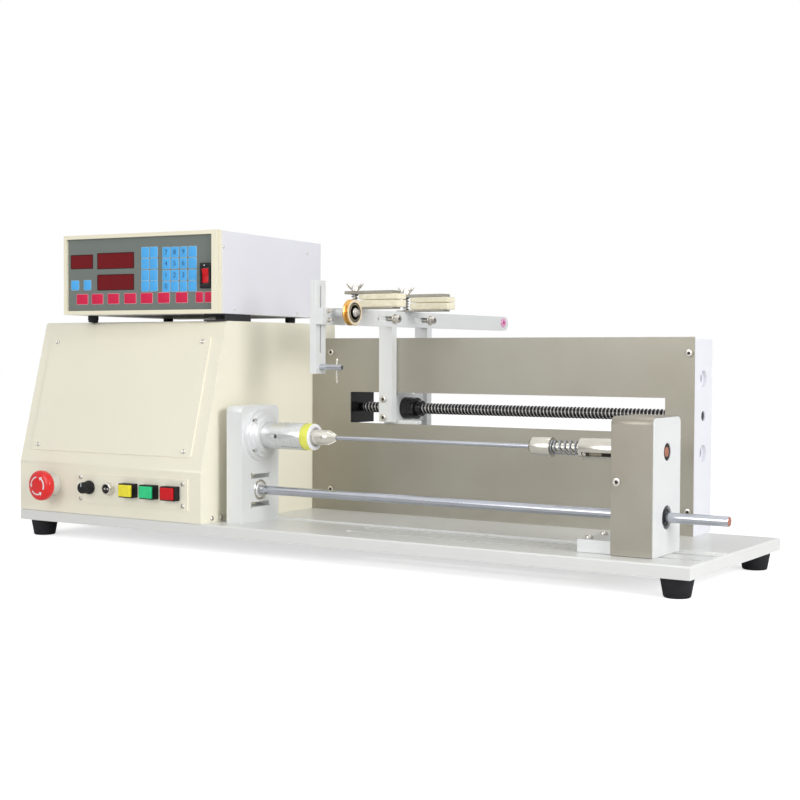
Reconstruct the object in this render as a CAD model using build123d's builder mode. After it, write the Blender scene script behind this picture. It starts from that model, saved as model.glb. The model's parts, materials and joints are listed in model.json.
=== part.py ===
from build123d import *
import os
from math import atan2, ceil, cos, degrees, hypot, pi, radians, sin

# A bench winding machine for wire coils. Millimetres, +X along the spindle, +Z up.
# Places are measured from the front left corner of the base plate's top face.

# ---- Fits ----
running_fit = 0.05          # radial play of a shaft in its bearing, or a bush on its rod
body_gap = 0.3              # between pieces that move past each other
wall_play = 1               # round a shaft where it goes through the housing's wall
belt_gap = 0.3              # between a belt and its pulleys

# ---- Base plate and feet ----
base_length = 960
base_width = 280
base_thickness = 14
base_chamfer = 1.5
foot_height = 21.5
foot_top_radius = 18
foot_bottom_radius = 14
foot_inset = 22.5
foot_recess_radius = 7
foot_recess_depth = 12

# ---- Screws, by size of shank ----
small_screw_radius = 1.5
small_head_radius = 3.2
small_head_height = 1.6
screw_radius = 2.5
head_radius = 4.5
head_height = 3
bolt_radius = 3
bolt_head_radius = 5
bolt_head_height = 4.5
screw_grip = 8              # length of shank in a thick piece

# ---- Sheet housing ----
housing_length = 320.5
housing_overhang = 5        # of the housing behind the base
housing_height = 252.9
sheet = 2
bend_height = 64.6
slope_run = 49.3
front_bend_radius = 12
top_bend_radius = 5
panel_thickness = 1.5
panel_corner_radius = 4
access_panel_start = 18
access_panel_end = 301
access_panel_low = 17
access_panel_high = 174.6
access_screw_inset_x = 12
access_screw_inset_y = 7.5
control_panel_start = 108
control_panel_end = 300
control_panel_low = 15
control_panel_high = 54
control_screw_inset_x = 7.5
control_screw_inset_z = 5.5
side_screw_height = 5
side_screw_setback = 21
side_screw_spacing = 19

# ---- Controls on the housing ----
stop_x = 61
control_height = 36
stop_head_radius = 20
stop_head_length = 14
stop_front = 28             # how far the button stands out from the housing
stop_wall = 2.6
stop_dome = 5
stop_stem_radius = 6
stop_collar_radius = 15.5
stop_collar_tip_radius = 14
stop_travel = 5
control_depth = 14          # how far the controls reach in behind the housing
knob_x = 132
knob_radius = 7.5
knob_skirt_radius = 9
knob_skirt_length = 4
knob_length = 16
knob_shaft_radius = 3
socket_x = 167
socket_radius = 9
socket_insert_radius = 6
socket_length = 7
socket_step = 1
pin_hole_radius = 1.1
pin_spacing = 5
first_button_x = 204.4
button_pitch = 35.5
button_width = 21
button_height = 15
button_wall = 1.5
button_proud = 2.8
button_travel = 2.5
button_stem_radius = 3
bezel_depth = 10
bezel_floor = 2

# ---- Spindle line ----
axis_y = 67.5
spindle_height = 109.3
shaft_height = 40
pulley_radius = 20
belt_width = 9
belt_thickness = 2
belt_side_play = 1.5
spindle_pulley_x = 284
motor_belt_x = 299
spindle_left = 272
journal_radius = 12.5
collar_radius = 14
nose_radius = 16.75
nose_start = 374.3
nose_end = 434
nose_hole_radius = 2.5
nose_hole_depth = 6
nose_hole_inset = 23
ring_length = 13
ring_radius = 16.5
ring_bore_radius = 12
chuck_shank_radius = 8
chuck_shank_length = 11
chuck_radius = 9.25
chuck_tip_radius = 3.65
chuck_straight = 22
chuck_length = 32.5
mandrel_radius = 2.5
mandrel_seat = 15           # how far the mandrel stands in the tail cup
drive_shaft_radius = 5.5
drive_shaft_overhang = 16
shaft_end_chamfer = 1

# ---- Headstock ----
headstock_start = 337
headstock_thickness = 24
headstock_width = 74.5
headstock_height = 146.5
headstock_corner = 8
spindle_bearing_radius = 23.5
bearing_ring_wall = 3
window_width = 36
window_low = 19
window_high = 60.5
block_height = 29.5
block_play = 0.1
shaft_bearing_radius = 13
flange_radius = 32.5
flange_steps = 3
flange_step_height = 4.3
flange_step_in = 5
flange_screw_offset = 18
headstock_bolt_offset = 29.5

# ---- Motors ----
motor_radius = 40
motor_length = 140
motor_end = 268
motor_y = 180
motor_height = 84
motor_shaft_radius = 7
motor_foot_width = 60
stepper_size = 42
stepper_length = 34

# ---- Traverse unit ----
panel_setback = 47.6        # from the base's rear edge to the panel's front face
panel_gauge = 1.6
panel_start = 321
panel_height = 233
traverse_end = 871.5
end_plate_thickness = 12
left_plate_start = 347
end_plate_depth = 55.5
end_plate_height = 231
panel_screw_low = 28
panel_screw_high = 214
slot_start_x = 384
slot_end_x = 835.5
slot_low = 119.7
slot_high = 161
screw_height = 139.8
rail_spacing = 88
rail_radius = 8
rail_recess_radius = 10
rail_recess_depth = 5
support_depth = 25
support_height = 42
lead_screw_radius = 7.25
lead_screw_root_radius = 6
lead_screw_journal_radius = 5
lead_screw_pitch = 5
thread_start = 386
thread_end = 857
thread_gap_share = 0.5

# ---- Carriage ----
carriage_start = 431
carriage_thickness = 22
carriage_depth = 36
carriage_margin = 12        # of the block beyond the middle of each rail
tongue_low = 122.5
tongue_high = 158
tongue_start = 438.6
flag_length = 37
flag_thickness = 5
flag_depth = 10
nut_radius = 14.5
nut_length = 20
nut_collar_radius = 10.5
nut_collar_length = 8
nut_play = 0.1
post_width = 19.8
post_depth = 12
post_tongue = 9.8
front_post_low = 122.5
rear_post_low = 112
rear_post_setback = 75.6    # of the rear post behind the panel's front face
arm_thickness = 10
arm_height = 20.3
arm_low = 247.7
arm_lead = 1.5              # of the arm in front of the spindle line
arm_tail = 304.6            # of the arm behind the panel's front face
arm_slot_height = 6.5
front_slot_lead = 12.6      # of each slot's middle in front of its post's bolt
rear_slot_lead = 11.5
arm_slot_length = 54
bolt_overhang = 9.1         # of each post's bolt beyond the arm
eyelet_setback = 15.5
eyelet_rise = 11.3          # above the arm's lower edge
eyelet_bore_radius = 2.5
eyelet_radius = 5
eyelet_lip_radius = 6.5
eyelet_lip = 2

# ---- Wire guide ----
guide_plate_thickness = 9
guide_plate_width = 21
guide_plate_low = 187
guide_plate_high = 302
guide_slot_width = 3
guide_slot_low = 212.7
guide_slot_high = 295
clamp_screw_low = 253
clamp_screw_high = 264
clamp_screw_overhang = 7.6
clamp_head_height = 5
tip_height = 195
tip_radius = 3.65
tip_length = 32
needle_inset = 7.2
needle_radius = 1.4
needle_bore_radius = 0.6
needle_low = 176
needle_high = 205.5
wheel_y = 94.3
wheel_height = 262.4
wheel_spacer_length = 20.6
wheel_width = 8
wheel_radius = 16
wheel_groove_radius = 12
wheel_rim = 1.4
wheel_hub_radius = 9.5
wheel_spacer_radius = 4.5
wheel_axle_radius = 3
wheel_axle_overhang = 5.5

# ---- Felt wire tensioners ----
front_tensioner_lead = 89.8     # in front of the panel's front face
rear_tensioner_setback = 29.6   # behind it
plate_lead = 4.4            # of each plate in front of the arm's left face
plate_length = 72
plate_width = 20
lower_plate_thickness = 2
upper_plate_thickness = 3.9
felt_lead = 22              # from each plate's left end
felt_length = 58
felt_width = 21.6
lower_felt_thickness = 9.4
upper_felt_thickness = 7.5
felt_gap = 0.2
felt_round = 1.5
stud_radius = 2.5
stud_reach = 31             # above the arm
stud_depth = 12
tension_wire = 1
tension_coil_radius = 4.1
tension_turns = 4
wing_hub_radius = 4.6
wing_hub_height = 6.6
wing_span = 26
wing_thickness = 2.4
wing_height = 10.3
wing_corner = 2.5

# ---- Tailstock ----
tail_start = 859
tail_end = 907
tail_height = 147
tail_lift = 0.3             # running gap under the tailstock
tail_plate_thickness = 14
tail_end_plate_thickness = 8
tail_floor = 10
cover_sheet = 1.2
cover_screw_height = 77.8
tail_hole_radius = 12.75
foot_block_length = 41
foot_block_height = 14
foot_block_width = 63
foot_screw_inset = 8
clamp_disc_radius = 24
clamp_disc_tip_radius = 12
clamp_disc_height = 9
tail_journal_radius = 9.5
barrel_radius = 12.15
barrel_length = 51
tail_pulley_x = 880
plunger_radius = 5
plunger_length = 60
key_inset = 7               # from the barrel's left end
key_radius = 2.2
key_angle = 28.5
key_slot_width = 5
key_slot_play = 0.6
tail_spring_length = 36
cup_length = 27
cup_radius = 11
cup_chamfer = 4
cup_bore_depth = 20.5
cup_bore_play = 0.15
cup_screw_inset = 6
cup_screw_radius = 1.6
tail_spring_wire = 1.8
tail_spring_radius = 8.3
tail_spring_turns = 6

# ---- Slots and rib of the base plate ----
base_slot_width = 7
base_slot_spread = 38
base_slot_start = 511
base_slot_margin = 10       # left between each slot's middle line end and the base's edge
rib_y = 106
rib_width = 2.5
rib_height = 2
rib_start = 361

# ---- Controller box ----
box_x = 78.3
box_y = 4.7
box_yaw = 5.6
box_width = 245
box_depth = 256
box_height = 104.4
box_foot_height = 9.1
box_foot_radius = 7
box_foot_inset_left = 15.5
box_foot_inset_right = 22
box_foot_inset_front = 42
box_foot_inset_rear = 46
box_wall = 1.6
bezel_length = 12
bezel_lip = 5
bezel_right_lip = 8
bezel_groove = 0.8            # all round the bezel's sides, behind its front edge
bezel_groove_setback = 3
bezel_groove_width = 1.4
keypad_recess = 4
keypad_thickness = 2
stand_width = 34
stand_depth = 58
stand_centre = 49
stand_gauge = 2
rocker_x = 226.5
rocker_centre_height = 47.5
rocker_width = 10
rocker_height = 20
rocker_frame_wall = 3
rocker_frame_extra_height = 6
rocker_depth = 9
rocker_tilt = 7
rocker_proud = 3
board_thickness = 1.6
board_margin = 18
board_setback = 12
supply_width = 90
supply_depth = 70
supply_height = 48

# ---- Datum: the box round the whole machine stands centred on the origin ----
base_left = -(base_length + drive_shaft_overhang) / 2
panel_front = base_width - panel_setback
arm_rear = panel_front + arm_tail
base_front = (stop_front - arm_rear) / 2
base_top = foot_height + base_thickness
RIGHT = (1, 0, 0)
LEFT = (-1, 0, 0)
BACK = (0, 1, 0)
FRONT = (0, -1, 0)
UP = (0, 0, 1)
DOWN = (0, 0, -1)
base_frame = Plane(origin=(base_left, base_front, base_top))


def level(height):
    """A horizontal sketch plane at a height above the base plate."""
    return Plane(origin=(base_left, base_front, base_top + height))


def across(x):
    """A sketch plane square to the spindle; its own axes run back and up."""
    return Plane(origin=(base_left + x, base_front, base_top), x_dir=BACK, z_dir=RIGHT)


def facing(y):
    """An upright sketch plane facing the front; its own axes run right and up."""
    return Plane(origin=(base_left, base_front + y, base_top), x_dir=RIGHT, z_dir=FRONT)


def block(x, y, z, frame=base_frame, mode=Mode.ADD):
    """A box between each pair of places."""
    middle = tuple((pair[0] + pair[1]) / 2 for pair in (x, y, z))
    place = Plane(origin=frame.from_local_coords(middle), x_dir=frame.x_dir, z_dir=frame.z_dir)
    with Locations(place):
        Box(x[1] - x[0], y[1] - y[0], z[1] - z[0], mode=mode)


def bar(start, way, length, radius, tip=None, frame=base_frame, mode=Mode.ADD):
    """A round bar, or a cone where it has a tip radius, from a place along a way."""
    origin = frame.from_local_coords(start)
    heading = frame.x_dir * way[0] + frame.y_dir * way[1] + frame.z_dir * way[2]
    with Locations(Plane(origin=origin, z_dir=heading)):
        if tip is None:
            Cylinder(radius, length, align=(Align.CENTER, Align.CENTER, Align.MIN), mode=mode)
        else:
            Cone(radius, tip, length, align=(Align.CENTER, Align.CENTER, Align.MIN), mode=mode)


def around(centre, half):
    """The two ends of a length that lies evenly about a centre."""
    return (centre - half, centre + half)


def screw(place, inward, grip, radius, head, height, frame=base_frame):
    """A socket screw: its head stands on the place, its shank runs inward."""
    outward = tuple(-part for part in inward)
    bar(place, inward, grip, radius, frame=frame)
    bar(place, outward, height, head, frame=frame)
    bar(moved(place, outward, height), inward, height / 2, head / 2, frame=frame,
        mode=Mode.SUBTRACT)


def moved(place, way, distance):
    """A place moved along a way."""
    return tuple(value + step * distance for value, step in zip(place, way))


def save(piece, label):
    """Label a finished piece and write its file."""
    piece.part.label = label
    export_step(piece.part, f"parts/{label}.step")


def spring_points(start, way, side, wire, radius, turns, length):
    """Quarter-turn points of a coil with its tangents, between its two bent ends."""
    bend = 1.5 * wire
    third = Vector(*way).cross(Vector(*side))
    coil_length = length - 2 * (wire + bend)
    rise = coil_length / turns
    lean = atan2(rise, 2 * pi * radius)
    entry = wire + bend
    points = []
    for quarter in range(4 * turns + 1):
        angle = quarter * pi / 2
        out = Vector(*side) * cos(angle) + third * sin(angle)
        along = third * cos(angle) - Vector(*side) * sin(angle)
        centre = Vector(*start) + Vector(*way) * (entry + rise * quarter / 4)
        points.append((centre + out * radius, along * cos(lean) + Vector(*way) * sin(lean)))
    return points, lean, bend


def coil_spring(start, way, side, wire, radius, turns, length):
    """The centre line of a coil spring whose ends turn in line with its axis."""
    points, lean, bend = spring_points(start, way, side, wire, radius, turns, length)
    turn = pi / 2 - lean
    axis = Vector(*way)
    first, heading = points[0]
    flat = (heading - axis * heading.dot(axis)).normalized()
    foot = first - axis * (bend * sin(turn)) - flat * (bend * (1 - cos(turn)))
    straight = wire + bend * (1 - sin(turn))
    Line(foot - axis * straight, foot)
    TangentArc(foot, first, tangent=axis)
    for (here, leaving), (there, arriving) in zip(points, points[1:]):
        chord = there - here
        square = 2 * (leaving.dot(arriving) - 1)
        linear = -2 * chord.dot(leaving + arriving)
        reach = (-linear - (linear ** 2 - 4 * square * chord.dot(chord)) ** 0.5) / (2 * square)
        middle = ((here + leaving * reach) + (there - arriving * reach)) * 0.5
        TangentArc(here, middle, tangent=leaving)
        TangentArc(middle, there, tangent=arriving * -1, tangent_from_first=False)
    last, heading = points[-1]
    flat = (heading - axis * heading.dot(axis)).normalized()
    head = last + axis * (bend * sin(turn)) + flat * (bend * (1 - cos(turn)))
    TangentArc(last, head, tangent=heading)
    Line(head, head + axis * straight)


def report_gap(label, line, wire, turns):
    """Print the least gap between neighbouring turns, measured on points."""
    steps = 48 * turns
    points = [line @ (step / steps) for step in range(steps + 1)]
    apart = steps // (2 * turns)
    gap = min((a - b).length for i, a in enumerate(points) for b in points[i + apart:])
    print(label, "least gap", round(gap - wire, 2))


# ---- Derived places ----
housing_rear = base_width + housing_overhang
slope_length = hypot(slope_run, housing_height - bend_height)
slope_lean = atan2(slope_run, housing_height - bend_height)
slope_frame = Plane(
    origin=base_frame.from_local_coords((0, 0, bend_height)),
    x_dir=RIGHT,
    z_dir=(0, -cos(slope_lean), sin(slope_lean)),
)
box_frame = Plane(
    origin=base_frame.from_local_coords((box_x, box_y, housing_height + box_foot_height)),
    x_dir=(cos(radians(box_yaw)), sin(radians(box_yaw)), 0),
    z_dir=UP,
)
foot_places = [
    (x, y)
    for x in (foot_inset, base_length - foot_inset)
    for y in (foot_inset, base_width - foot_inset)
]
slot_sides = [axis_y - base_slot_spread / 2, axis_y + base_slot_spread / 2]
headstock_end = headstock_start + headstock_thickness
headstock_span = around(axis_y, headstock_width / 2)
chuck_start = nose_end + ring_length
chuck_end = chuck_start + chuck_length
button_places = [first_button_x + index * button_pitch for index in range(3)]
access_screws = [
    (x, y)
    for x in (access_panel_start + access_screw_inset_x, access_panel_end - access_screw_inset_x)
    for y in (access_panel_low + access_screw_inset_y, access_panel_high - access_screw_inset_y)
]
control_screws = [
    (x, z)
    for x in (control_panel_start + control_screw_inset_x,
              control_panel_end - control_screw_inset_x)
    for z in (control_panel_low + control_screw_inset_z,
              control_panel_high - control_screw_inset_z)
]
side_screws = [side_screw_setback, side_screw_setback + side_screw_spacing]
traverse_back = panel_front + panel_gauge
right_plate_start = traverse_end - end_plate_thickness
panel_screws = [
    (x, z)
    for x in (left_plate_start + end_plate_thickness / 2,
              right_plate_start + end_plate_thickness / 2)
    for z in (panel_screw_low, panel_screw_high)
]
rail_heights = [screw_height - rail_spacing / 2, screw_height + rail_spacing / 2]
rail_depth = traverse_back + end_plate_depth / 2
flange_screws = [
    (axis_y + side * flange_screw_offset, spindle_height + lift * flange_screw_offset)
    for side in (-1, 1)
    for lift in (-1, 1)
]
carriage_end = carriage_start + carriage_thickness
post_end = tongue_start + post_width
arm_start = tongue_start + post_tongue
arm_end = arm_start + arm_thickness
arm_top = arm_low + arm_height
front_post_front = panel_front - body_gap - post_depth
rear_post_front = panel_front + rear_post_setback
post_fronts = [front_post_front, rear_post_front]
slot_centres = [front_post_front + post_depth / 2 - front_slot_lead,
                rear_post_front + post_depth / 2 - rear_slot_lead]
bolt_height = arm_low + arm_height / 2
arm_front = axis_y - arm_lead
eyelet_y = arm_rear - eyelet_setback
eyelet_height = arm_low + eyelet_rise
guide_slot_y = arm_front + guide_plate_width / 2
stud_x = arm_start + arm_thickness / 2
tensioner_places = [panel_front - front_tensioner_lead, panel_front + rear_tensioner_setback]
plate_start = arm_start - plate_lead
plate_end = plate_start + plate_length
felt_start = plate_start + felt_lead
felt_end = felt_start + felt_length
stud_top = arm_top + stud_reach
wheel_start = arm_end + wheel_spacer_length
wheel_end = wheel_start + wheel_width
lower_felt_top = arm_top + lower_plate_thickness + lower_felt_thickness
upper_plate_low = lower_felt_top + felt_gap + upper_felt_thickness
upper_plate_top = upper_plate_low + upper_plate_thickness
barrel_start = tail_start - barrel_length
key_x = barrel_start + key_inset
cup_end = barrel_start - tail_spring_length
cup_start = cup_end - cup_length
foot_screw_x = tail_start - foot_block_length + foot_screw_inset
tail_inner_start = tail_start + tail_plate_thickness
tail_inner_end = tail_end - tail_end_plate_thickness
tail_span = around(axis_y, headstock_width / 2)
key_frame = Plane(
    origin=base_frame.from_local_coords((0, axis_y, spindle_height)),
    x_dir=RIGHT,
    z_dir=(0, -cos(radians(key_angle)), -sin(radians(key_angle))),
)

os.makedirs("parts", exist_ok=True)


# ---- Base plate: slotted for the tailstock, with a guide rib behind the slots ----
with BuildPart() as base_plate:
    with BuildSketch(level(0)):
        with Locations((base_length / 2, base_width / 2)):
            Rectangle(base_length, base_width)
    extrude(amount=-base_thickness)
    chamfer(base_plate.faces().sort_by(Axis.Z)[-1].edges(), base_chamfer)
    block((rib_start, base_length - base_chamfer), around(rib_y, rib_width / 2), (0, rib_height))
    for y in slot_sides:
        block((base_slot_start, base_length - base_slot_margin), around(y, base_slot_width / 2),
              (-2 * base_thickness, base_thickness), mode=Mode.SUBTRACT)
        for x in (base_slot_start, base_length - base_slot_margin):
            bar((x, y, -base_thickness), UP, base_thickness, base_slot_width / 2,
                mode=Mode.SUBTRACT)
    for side in (-1, 1):
        bar((headstock_start + headstock_thickness / 2, axis_y + side * headstock_bolt_offset,
             -base_thickness), UP, base_thickness, bolt_radius, mode=Mode.SUBTRACT)
    for x, y in foot_places:
        bar((x, y, -base_thickness), UP, screw_grip, screw_radius, mode=Mode.SUBTRACT)
save(base_plate, "base_plate")


# ---- Rubber feet under the base plate and under the controller box ----
box_feet = [
    (box_foot_inset_left, box_foot_inset_front),
    (box_foot_inset_left, box_depth - box_foot_inset_rear),
    (box_width - box_foot_inset_right, box_depth - box_foot_inset_rear),
]
with BuildPart() as rubber_feet:
    for x, y in foot_places:
        bar((x, y, -base_thickness), DOWN, foot_height, foot_top_radius, tip=foot_bottom_radius)
        bar((x, y, -base_thickness - foot_height), UP, foot_recess_depth, foot_recess_radius,
            mode=Mode.SUBTRACT)
        bar((x, y, -base_thickness - foot_height), UP, foot_height, screw_radius,
            mode=Mode.SUBTRACT)
    for x, y in box_feet:
        bar((x, y, 0), DOWN, box_foot_height, box_foot_radius, frame=box_frame)
save(rubber_feet, "rubber_feet")


# ---- Folded sheet housing ----
def housing_outline(inset):
    """The housing seen from its side, drawn in at the front, the slope and the top."""
    lean_in = inset * (1 - cos(slope_lean)) / sin(slope_lean)
    low_bend = bend_height - inset * sin(slope_lean) + lean_in * cos(slope_lean)
    top = housing_height - inset
    back_at_top = inset + (top - low_bend) * slope_run / (housing_height - bend_height)
    with BuildSketch(across(0)) as outline:
        with BuildLine():
            Polyline((inset, 0), (inset, low_bend), (back_at_top, top), (housing_rear, top),
                     (housing_rear, 0), close=True)
        make_face()
        corners = outline.vertices().group_by(Axis.X)
        fillet(corners[0].sort_by(Axis.Y)[-1], front_bend_radius - inset)
        fillet(outline.vertices().group_by(Axis.Y)[-1].sort_by(Axis.X)[0],
               top_bend_radius - inset)
    return outline.sketch


def control_holes(play):
    """Holes for the controls, wider than their bodies by a play."""
    front = -2 * panel_thickness
    depth = sheet - front
    bar((stop_x, front, control_height), BACK, depth, stop_stem_radius + play,
        mode=Mode.SUBTRACT)
    bar((knob_x, front, control_height), BACK, depth, knob_shaft_radius + play,
        mode=Mode.SUBTRACT)
    bar((socket_x, front, control_height), BACK, depth, socket_insert_radius, mode=Mode.SUBTRACT)
    for x in button_places:
        bar((x, front, control_height), BACK, depth, button_stem_radius + play,
            mode=Mode.SUBTRACT)


with BuildPart() as housing_cover:
    extrude(housing_outline(0), amount=housing_length)
    extrude(housing_outline(sheet), amount=housing_length, mode=Mode.SUBTRACT)
    control_holes(body_gap)
    for x, y in access_screws:
        bar((x, y, -sheet), UP, 2 * sheet, small_screw_radius, frame=slope_frame,
            mode=Mode.SUBTRACT)
    for x, z in control_screws:
        bar((x, -sheet, z), BACK, 2 * sheet, small_screw_radius, mode=Mode.SUBTRACT)
save(housing_cover, "housing_cover")

with BuildPart() as housing_body:
    extrude(housing_outline(sheet), amount=housing_length)
    block((sheet, housing_length - sheet), (-sheet, housing_rear - sheet),
          (-sheet, 2 * housing_height), mode=Mode.SUBTRACT)
    bar((housing_length - sheet, axis_y, spindle_height), RIGHT, sheet,
        journal_radius + wall_play, mode=Mode.SUBTRACT)
    bar((housing_length - sheet, axis_y, shaft_height), RIGHT, sheet,
        drive_shaft_radius + wall_play, mode=Mode.SUBTRACT)
    block((housing_length - sheet, housing_length), around(rail_depth, stepper_size / 2 + body_gap),
          around(screw_height, stepper_size / 2 + body_gap), mode=Mode.SUBTRACT)
    for y in side_screws:
        bar((housing_length - sheet, y, side_screw_height), RIGHT, sheet, small_screw_radius,
            mode=Mode.SUBTRACT)
save(housing_body, "housing_body")


# ---- Screwed panels on the housing: the sloping access panel and the control panel ----
with BuildPart() as front_panels:
    with BuildSketch(slope_frame):
        with Locations(((access_panel_start + access_panel_end) / 2,
                        (access_panel_low + access_panel_high) / 2)):
            RectangleRounded(access_panel_end - access_panel_start,
                             access_panel_high - access_panel_low, panel_corner_radius)
        with Locations(*access_screws):
            Circle(small_screw_radius, mode=Mode.SUBTRACT)
    extrude(amount=panel_thickness)
    with BuildSketch(facing(0)):
        with Locations(((control_panel_start + control_panel_end) / 2,
                        (control_panel_low + control_panel_high) / 2)):
            Rectangle(control_panel_end - control_panel_start,
                      control_panel_high - control_panel_low)
        with Locations(*control_screws):
            Circle(small_screw_radius, mode=Mode.SUBTRACT)
    extrude(amount=panel_thickness)
    control_holes(body_gap)
save(front_panels, "front_panels")


# ---- Fixed bodies of the controls: collar, socket, button bezels, rocker frame ----
bezel_front = -panel_thickness - bezel_depth
rocker_frame_z = around(rocker_centre_height,
                        rocker_height / 2 + rocker_frame_wall + rocker_frame_extra_height / 2)
with BuildPart() as panel_fittings:
    bar((stop_x, 0, control_height), FRONT, stop_front - 2 * stop_wall - stop_travel - body_gap,
        stop_collar_radius, tip=stop_collar_tip_radius)
    bar((stop_x, control_depth, control_height), FRONT, stop_front + control_depth,
        stop_stem_radius + body_gap, mode=Mode.SUBTRACT)
    bar((socket_x, -panel_thickness, control_height), FRONT, socket_length, socket_radius)
    bar((socket_x, -panel_thickness - socket_length, control_height), BACK, socket_step,
        socket_insert_radius, mode=Mode.SUBTRACT)
    bar((socket_x, -panel_thickness, control_height), BACK, control_depth, socket_insert_radius)
    for side in (-1, 1):
        bar((socket_x + side * pin_spacing / 2, -panel_thickness - socket_length,
             control_height), BACK, socket_length, pin_hole_radius, mode=Mode.SUBTRACT)
    for x in button_places:
        block(around(x, button_width / 2 + button_wall), (bezel_front, -panel_thickness),
              around(control_height, button_height / 2 + button_wall))
        block(around(x, button_width / 2 + body_gap),
              (bezel_front, -panel_thickness - bezel_floor),
              around(control_height, button_height / 2 + body_gap), mode=Mode.SUBTRACT)
        bar((x, bezel_front, control_height), BACK, bezel_depth, button_stem_radius + body_gap,
            mode=Mode.SUBTRACT)
    block(around(rocker_x, rocker_width / 2 + rocker_frame_wall),
          (keypad_recess - rocker_frame_wall, keypad_recess + rocker_depth), rocker_frame_z,
          frame=box_frame)
    block(around(rocker_x, rocker_width / 2 + body_gap), (-rocker_depth, 2 * rocker_depth),
          around(rocker_centre_height, rocker_height / 2 + body_gap), frame=box_frame,
          mode=Mode.SUBTRACT)
save(panel_fittings, "panel_fittings")

rim = stop_front - stop_head_length
dome_radius = (stop_head_radius ** 2 + stop_dome ** 2) / (2 * stop_dome)
dome_sag = dome_radius - (dome_radius ** 2 - (stop_head_radius / 2) ** 2) ** 0.5
with BuildPart() as emergency_stop_button:
    with BuildSketch(across(stop_x)):
        with BuildLine():
            Polyline((-stop_front, control_height), (-rim, control_height),
                     (-rim, control_height + stop_head_radius),
                     (-stop_front + stop_dome, control_height + stop_head_radius))
            ThreePointArc((-stop_front + stop_dome, control_height + stop_head_radius),
                          (-stop_front + dome_sag, control_height + stop_head_radius / 2),
                          (-stop_front, control_height))
        make_face()
    revolve(axis=Axis(base_frame.from_local_coords((stop_x, 0, control_height)), BACK))
    bar((stop_x, -rim, control_height), FRONT, stop_head_length - 2 * stop_wall,
        stop_head_radius - stop_wall, mode=Mode.SUBTRACT)
    bar((stop_x, -stop_front + stop_wall, control_height), BACK,
        stop_front - stop_wall + control_depth, stop_stem_radius)
save(emergency_stop_button, "emergency_stop_button")

with BuildPart() as speed_knob:
    knob_back = -panel_thickness - body_gap
    bar((knob_x, knob_back, control_height), FRONT, knob_skirt_length, knob_skirt_radius)
    bar((knob_x, knob_back, control_height), FRONT, knob_length, knob_radius)
    chamfer(speed_knob.faces().sort_by(Axis.Y)[0].edges(), 1)
    bar((knob_x, knob_back, control_height), BACK, control_depth, knob_shaft_radius)
save(speed_knob, "speed_knob")

for label, x in zip(("yellow_button", "green_button", "red_button"), button_places):
    with BuildPart() as button:
        cap_back = -panel_thickness - bezel_floor - button_travel - body_gap
        block(around(x, button_width / 2), (bezel_front - button_proud, cap_back),
              around(control_height, button_height / 2))
        fillet(button.faces().sort_by(Axis.Y)[0].edges(), 1)
        bar((x, cap_back, control_height), BACK, control_depth, button_stem_radius)
    save(button, label)


# ---- Controller box: moulded bezel, keypad, sheet cover, tilt stand, boards ----
with BuildPart() as controller_bezel:
    block((0, box_width), (0, bezel_length), (0, box_height), frame=box_frame)
    block((bezel_lip, box_width - bezel_right_lip), (-bezel_length, 2 * bezel_length),
          (bezel_lip, box_height - bezel_lip), frame=box_frame, mode=Mode.SUBTRACT)
    fillet(controller_bezel.faces().sort_by(Axis.Y)[0].outer_wire().edges(), 1.2)
    groove = (bezel_groove_setback, bezel_groove_setback + bezel_groove_width)
    with BuildPart(mode=Mode.SUBTRACT):
        block((-1, box_width + 1), groove, (-1, box_height + 1), frame=box_frame)
        block((bezel_groove, box_width - bezel_groove), groove,
              (bezel_groove, box_height - bezel_groove), frame=box_frame, mode=Mode.SUBTRACT)
save(controller_bezel, "controller_bezel")

with BuildPart() as controller_keypad:
    block((bezel_lip, box_width - bezel_right_lip),
          (keypad_recess, keypad_recess + keypad_thickness),
          (bezel_lip, box_height - bezel_lip), frame=box_frame)
    block(around(rocker_x, rocker_width / 2 + rocker_frame_wall),
          (0, bezel_length), rocker_frame_z, frame=box_frame, mode=Mode.SUBTRACT)
save(controller_keypad, "controller_keypad")

with BuildPart() as controller_cover:
    block((0, box_width), (bezel_length, box_depth), (0, box_height), frame=box_frame)
    block((box_wall, box_width - box_wall), (0, box_depth - box_wall),
          (box_wall, box_height - box_wall), frame=box_frame, mode=Mode.SUBTRACT)
save(controller_cover, "controller_cover")

with BuildPart() as controller_stand:
    stand_x = (box_width - stand_width, box_width)
    stand_y = around(stand_centre, stand_depth / 2)
    block(stand_x, stand_y, (-stand_gauge, 0), frame=box_frame)
    block(stand_x, stand_y, (-box_foot_height, stand_gauge - box_foot_height), frame=box_frame)
    block(stand_x, around(stand_centre, stand_gauge), (-box_foot_height, 0), frame=box_frame)
    block((box_width - stand_gauge, box_width), stand_y, (-box_foot_height, 0),
          frame=box_frame)
save(controller_stand, "controller_stand")

with BuildPart() as control_electronics:
    block((board_margin, box_width - board_margin),
          (board_setback + rocker_depth, board_setback + rocker_depth + board_thickness),
          (board_margin, box_height - board_margin), frame=box_frame)
    block(around(box_width / 2, supply_width / 2),
          (box_depth - board_setback - supply_depth, box_depth - board_setback),
          (box_wall, box_wall + supply_height), frame=box_frame)
    block(around(housing_length / 4, supply_width / 2),
          around(housing_rear / 2, supply_depth / 2), (0, supply_height))
save(control_electronics, "control_electronics")

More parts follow.
